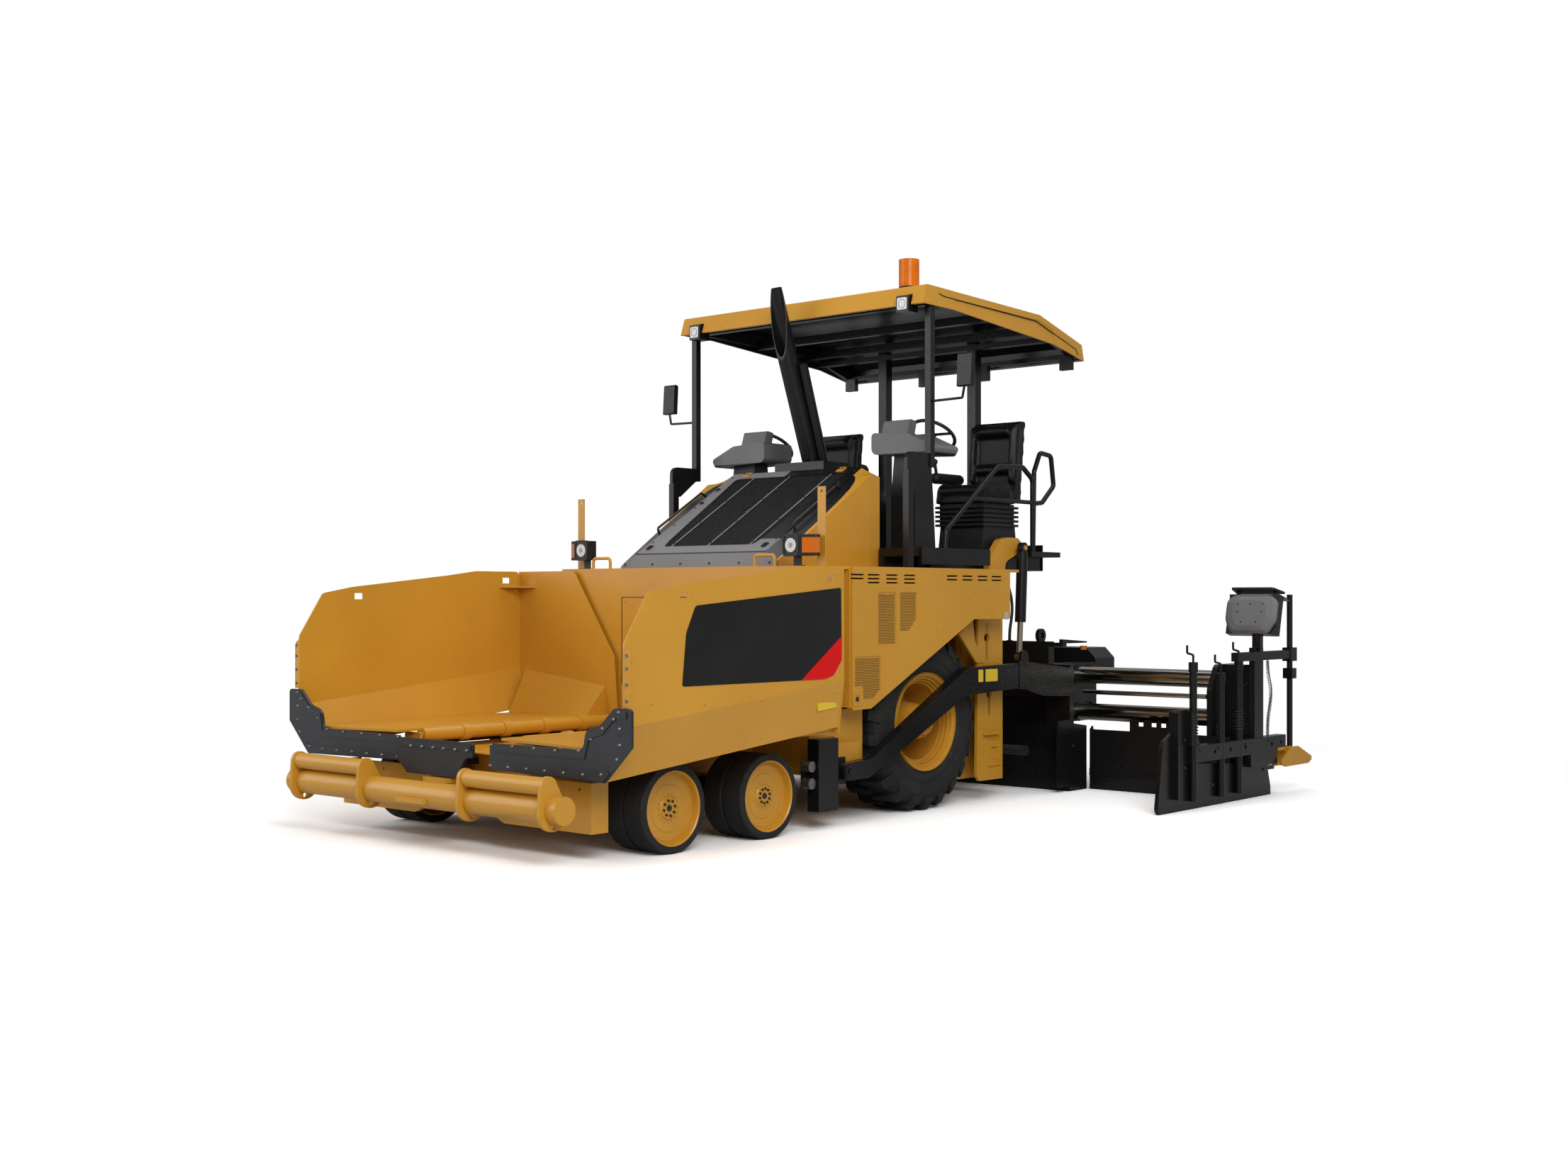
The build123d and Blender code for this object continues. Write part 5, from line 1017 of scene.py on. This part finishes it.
# Screed: tube caps, gate bolts, springs on the jack posts, display heads
screed = {"springX": 2.555, "springFoot": 0.52, "springRadius": 0.033, "springTurns": 7, "springSteps": 12,
          "springHeight": 0.15}
gateSpots = ((1.34, 0.42), (1.62, 0.42), (2.05, 0.42), (2.44, 0.42), (1.34, 0.20), (2.44, 0.20), (1.62, 0.15),
             (2.05, 0.15), (1.20, 0.30), (1.20, 0.50))
screedSpots = ((1.76, 0.60), (1.76, 0.35), (2.20, 0.25), (2.50, 0.60), (2.50, 0.35), (2.62, 0.60))
displayMiddle = (2.51, 2.33, 1.37)
displayTilt = math.radians(14)
displayUp = Vector((0, math.sin(displayTilt), math.cos(displayTilt)))
displayWay = Vector((0, math.cos(displayTilt), -math.sin(displayTilt)))
displayScrews = ((-0.10, 0.07), (0.0, 0.07), (0.10, 0.07), (-0.10, 0.01), (0.10, 0.01), (-0.06, -0.07),
                 (0.06, -0.07))
screenOutline = ((-0.165, -0.105), (0.165, -0.105), (0.165, 0.105), (-0.165, 0.105))
visorOutline = ((-0.17, -0.09), (0.17, -0.09), (0.20, 0.07), (-0.20, 0.07))
strutOutline = ((-0.012, -0.012), (0.012, -0.012), (0.012, 0.012), (-0.012, 0.012))
# the display's shell: depth of each ring and its share of the outline
shellRings = ((-0.0410, 1.0), (-0.062, 1.0), (-0.082, 0.88), (-0.094, 0.66))
shellOutline = ((-0.205, 0.100), (-0.14, 0.150), (0.14, 0.150), (0.205, 0.100), (0.205, -0.05),
                (0.15, -0.150), (-0.15, -0.150), (-0.205, -0.05))


def displayPoint(sign, u, v, w):
    # u across, v up and w rearward from the middle of the display head
    x, y, z = displayMiddle
    return tuple(Vector((sign * x, y, z)) + Vector((sign, 0, 0)) * u + displayUp * v + displayWay * w)


def springLine(sign, y):
    ring = circle(screed["springRadius"], screed["springSteps"])
    count = screed["springTurns"] * screed["springSteps"]
    line = []
    for index in range(count + 1):
        dx, dy = ring[index % len(ring)]
        rise = screed["springHeight"] * index / count
        line.append((sign * (screed["springX"] + dx), y + dy, screed["springFoot"] + rise))
    return line


def buildDisplay(side, sign, gate):
    screws = [(displayPoint(sign, u, v, -0.093), tuple(-displayWay)) for u, v in displayScrews]
    addHeads("displayScrews_" + side, gate, screws)
    screen = softCorners([displayPoint(sign, u, v, 0.0405) for u, v in screenOutline], 0.012)
    flatPiece("displayScreen_" + side, gate, screen, displayWay * 0.002, "screenGlass")

    def shell(shape):
        rings = []
        for depth, share in shellRings:
            outline = softCorners([(u * share, v * share, 0) for u, v in shellOutline], 0.03)
            rings.append([shape.verts.new(place(*displayPoint(sign, u, v, depth))) for u, v, flat in outline])
        joinRings(shape, rings)
    newPiece("displayShell_" + side, meshFrom("displayShell_" + side, shell), gate, "greyPlastic")
    corners = [displayPoint(sign, u, 0.185, w) for u, w in visorOutline]
    plates = [(softCorners(corners, 0.02), displayUp * 0.014)]
    for strut in (-0.15, 0.15):
        corners = [displayPoint(sign, strut + u, 0.120, w) for u, w in strutOutline]
        plates.append((corners, displayUp * 0.070))
    platesPiece("displayVisor_" + side, gate, plates, "blackPlastic")


def buildScreed():
    for side, sign in bothSides:
        extension, gate = "extension_" + side, "end_gate_" + side
        caps = [spot for z in tubeHeights
                for spot in ringSpots((tubeRows[side], z), 0.040, 6, sign, 0.3, 2.40)]
        addBolts("tubeCapBolts_" + side, extension, extension, caps)
        addBolts("gateBolts_" + side, gate, gate, outward(sign, 2.60, gateSpots))
        addBolts("screedBolts_" + side, "screed", "screed_main", outward(sign, 1.30, screedSpots))
        springs = [springLine(sign, y) for y in (1.278, 1.980)]
        addBars("postSprings_" + side, gate, springs)
        buildDisplay(side, sign, gate)


# Seats: padded cushions and backs, shrunk a little inside the solids they stand in for
seats = {"x": 0.8, "half": 0.4, "voxel": 0.011, "pressure": 3.5, "reach": 0.010, "shrink": 0.008,
         "clothFrames": 20, "rollSides": 14, "rollEnd": 0.55, "rollPast": 0.25}
backRows = (-0.14, -0.05, 0.05, 0.14)


def frontOf(x, z):
    return touch("seat_backs", (x, 1.30, z), (0, -1, 0)).y - axleY


def addRoll(shape, line, radius):
    # a round bolster along a line of points; the remesh joins it to the pad
    points = [place(*point) for point in line]
    past = -seats["rollPast"]
    points = [points[0].lerp(points[1], past)] + points + [points[-1].lerp(points[-2], past)]
    rings = []
    for index, (point, way, side) in enumerate(zip(points, *sidesAlong(points))):
        size = radius * (seats["rollEnd"] if index in (0, len(points) - 1) else 1.0)
        other = way.cross(side)
        rings.append([shape.verts.new(point + (side * a + other * b) * size)
                      for a, b in circle(1.0, seats["rollSides"])])
    joinRings(shape, rings)


def rollsOf(kind, x):
    # lines and radii of the bolsters: two upright and two across on a back, two along and one across else
    if kind == "back":
        return [([(x + shift, frontOf(x, z) - 0.012, z) for z in (2.42, 2.55, 2.70, 2.83)], 0.045)
                for shift in (-0.195, 0.195)] + [
            ([(x + shift, frontOf(x, 2.80) - 0.004, 2.80) for shift in backRows], 0.052),
            ([(x + shift, frontOf(x, 2.50) + 0.004, 2.50) for shift in backRows], 0.040)]
    return [([(x + shift, y, 2.338) for y in (0.925, 1.03, 1.14, 1.26)], 0.042)
            for shift in (-0.200, 0.200)] + [
        ([(x + shift, 0.925, 2.318) for shift in (-0.19, -0.06, 0.06, 0.19)], 0.048)]


def padFrom(name, kind, source, solidX):
    # the half of the node's mesh that lies around solidX, with its bolsters
    mesh = source.data.copy()
    shape = bmesh.new()
    shape.from_mesh(mesh)
    bmesh.ops.remove_doubles(shape, verts=shape.verts, dist=1e-5)
    drop = [vertex for vertex in shape.verts if abs(vertex.co.x - solidX) > seats["half"]]
    bmesh.ops.delete(shape, geom=drop, context="VERTS")
    for line, radius in rollsOf(kind, solidX):
        addRoll(shape, line, radius)
    bmesh.ops.recalc_face_normals(shape, faces=shape.faces)
    shape.to_mesh(mesh)
    shape.free()
    mesh.name = name
    return mesh


def inset(mesh, amount):
    shape = bmesh.new()
    shape.from_mesh(mesh)
    bmesh.ops.recalc_face_normals(shape, faces=shape.faces)
    moves = [vertex.normal * -amount for vertex in shape.verts]
    for vertex, move in zip(shape.verts, moves):
        vertex.co += move
    shape.to_mesh(mesh)
    shape.free()


def cap(mesh, rest, reach):
    # no point moves further than reach from where it was
    for vertex, start in zip(mesh.vertices, rest):
        move = vertex.co - start
        if move.length > reach:
            vertex.co = start + move.normalized() * reach


def puff(obj):
    scene = bpy.context.scene
    cloth = obj.modifiers.new("puff", "CLOTH")
    cloth.settings.use_pressure = True
    cloth.settings.uniform_pressure_force = seats["pressure"]
    cloth.settings.effector_weights.gravity = 0
    cloth.settings.quality = 4
    cloth.point_cache.frame_start = 1
    cloth.point_cache.frame_end = seats["clothFrames"]
    for frameNumber in range(1, seats["clothFrames"] + 1):
        scene.frame_set(frameNumber)
    settled(obj)
    scene.frame_set(1)


def buildPad(name, kind, source, solidX):
    pad = linked(name, padFrom(name, kind, source, solidX))
    skin = pad.modifiers.new("skin", "REMESH")
    skin.mode = "VOXEL"
    skin.voxel_size = seats["voxel"]
    settled(pad)
    inset(pad.data, seats["shrink"])
    rest = [vertex.co.copy() for vertex in pad.data.vertices]
    puff(pad)
    cap(pad.data, rest, seats["reach"])
    smooth = pad.modifiers.new("smooth", "SUBSURF")
    smooth.levels = 1
    smooth.render_levels = 1
    settled(pad)
    for face in pad.data.polygons:
        face.use_smooth = True
    pad.data.materials.clear()
    pad.data.materials.append(materials["seatVinyl"])
    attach(pad, "tractor")
    return pad


def buildSeats():
    for kind, node in (("cushion", "seat_cushions"), ("back", "seat_backs")):
        pads = [buildPad("%sPad_%s" % (kind, side), kind, nodeObjects[node], sign * seats["x"])
                for side, sign in bothSides]
        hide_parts(node)


# Cords: two heating hoses and two curly sensor cords, along the routes of the construction
hoseRoute = ((0.420, 1.770, 1.800), (0.420, 1.860, 1.800), (0.432, 1.960, 1.765), (0.450, 2.020, 1.690),
             (0.490, 2.035, 1.590), (0.545, 1.995, 1.490), (0.600, 1.920, 1.400), (0.638, 1.845, 1.315),
             (0.650, 1.805, 1.235), (0.650, 1.805, 1.165))
curlyRoute = ((2.558, 2.450, 1.035), (2.558, 2.450, 0.935), (2.570, 2.480, 0.830), (2.568, 2.484, 0.715),
              (2.556, 2.452, 0.560), (2.556, 2.452, 0.452))
cords = {"hoseRadius": 0.012, "hoseSides": 24, "hosePoints": 90, "curlyPoints": 60, "curveDetail": 24,
         "coilRadius": 0.0115, "wireRadius": 0.0025, "coilPitch": 0.0095, "turnPoints": 14, "wireSides": 8,
         "easePoints": 20}


def routePoints(name, route, sign):
    curve = bpy.data.curves.new(name, "CURVE")
    curve.dimensions = "3D"
    curve.resolution_u = cords["curveDetail"]
    spline = curve.splines.new("NURBS")
    spline.points.add(len(route) - 1)
    for point, (x, y, z) in zip(spline.points, route):
        point.co = (*place(sign * x, y, z), 1)
    spline.order_u = 3
    spline.use_endpoint_u = True
    holder = linked(name, curve)
    graph = bpy.context.evaluated_depsgraph_get()
    mesh = bpy.data.meshes.new_from_object(holder.evaluated_get(graph))
    points = [vertex.co.copy() for vertex in mesh.vertices]
    bpy.data.objects.remove(holder)
    bpy.data.meshes.remove(mesh)
    bpy.data.curves.remove(curve)
    return points


def evenPoints(points, count):
    # count points at even distances along a path, and the path's length
    lengths = [0.0]
    for first, second in zip(points, points[1:]):
        lengths.append(lengths[-1] + (second - first).length)
    result, index = [], 0
    for step in range(count):
        goal = lengths[-1] * step / (count - 1)
        while index < len(points) - 2 and lengths[index + 1] < goal:
            index += 1
        span = lengths[index + 1] - lengths[index]
        result.append(points[index].lerp(points[index + 1], (goal - lengths[index]) / span if span else 0))
    return result, lengths[-1]


def sidesAlong(points):
    # the path's direction at each point, and a side direction carried along it without twist
    last = len(points) - 1
    ways = [(points[min(index + 1, last)] - points[max(index - 1, 0)]).normalized()
            for index in range(last + 1)]
    side = ways[0].orthogonal().normalized()
    sides = []
    for way in ways:
        side = (side - way * side.dot(way)).normalized()
        sides.append(side.copy())
    return ways, sides


def tubeMesh(name, points, radius, count):
    vertices, faces = [], []
    for point, way, side in zip(points, *sidesAlong(points)):
        other = way.cross(side)
        vertices += [point + side * a + other * b for a, b in circle(radius, count)]
    for ring in range(len(points) - 1):
        for step in range(count):
            a, b = ring * count + step, ring * count + (step + 1) % count
            faces.append((a, b, b + count, a + count))
    faces.append(tuple(reversed(range(count))))
    faces.append(tuple(range((len(points) - 1) * count, len(points) * count)))
    mesh = bpy.data.meshes.new(name)
    mesh.from_pydata(vertices, [], faces)
    for face in mesh.polygons:
        face.use_smooth = len(face.vertices) == 4
    return mesh


def coilPoints(points, length):
    total = int(length / cords["coilPitch"]) * cords["turnPoints"] + 1
    middle = evenPoints(points, total)[0]
    ring = circle(cords["coilRadius"], cords["turnPoints"])
    result = []
    for index, (point, way, side) in enumerate(zip(middle, *sidesAlong(middle))):
        a, b = ring[index % len(ring)]
        ease = min(1.0, index / cords["easePoints"], (total - 1 - index) / cords["easePoints"])
        result.append(point + (side * a + way.cross(side) * b) * ease)
    return result


def buildCords():
    for side, sign in bothSides:
        points = routePoints("hoseLine_" + side, hoseRoute, sign)
        middle, length = evenPoints(points, cords["hosePoints"])
        name = "screedHose_" + side
        hose = linked(name, tubeMesh(name, middle, cords["hoseRadius"], cords["hoseSides"]))
        hose.data.materials.append(materials["hoseRubber"])
        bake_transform(hose)
        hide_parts("screed_hose_" + side)
        print("hose", side, round(length, 4))
        points = routePoints("curlyLine_" + side, curlyRoute, sign)
        middle, length = evenPoints(points, cords["curlyPoints"])
        name = "sensorCord_" + side
        mesh = tubeMesh(name, coilPoints(points, length), cords["wireRadius"], cords["wireSides"])
        coil = newPiece(name, mesh, "end_gate_" + side, "hoseRubber")
        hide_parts("sensor_cord_" + side)
        print("curly", side, round(length, 4))


buildStudio()
buildFloor()
print("studio built")
buildMaterials()
dressNodes()
print("finishes made:", len(materials))
buildCords()
print("cords built")
for buildDetails in (buildHood, buildHopper, buildFront, buildRearWheels, buildDoors, buildColumns,
                     buildLamps, buildCanopy, buildScreed):
    buildDetails()
print("details built")
buildSeats()
print("seats padded")
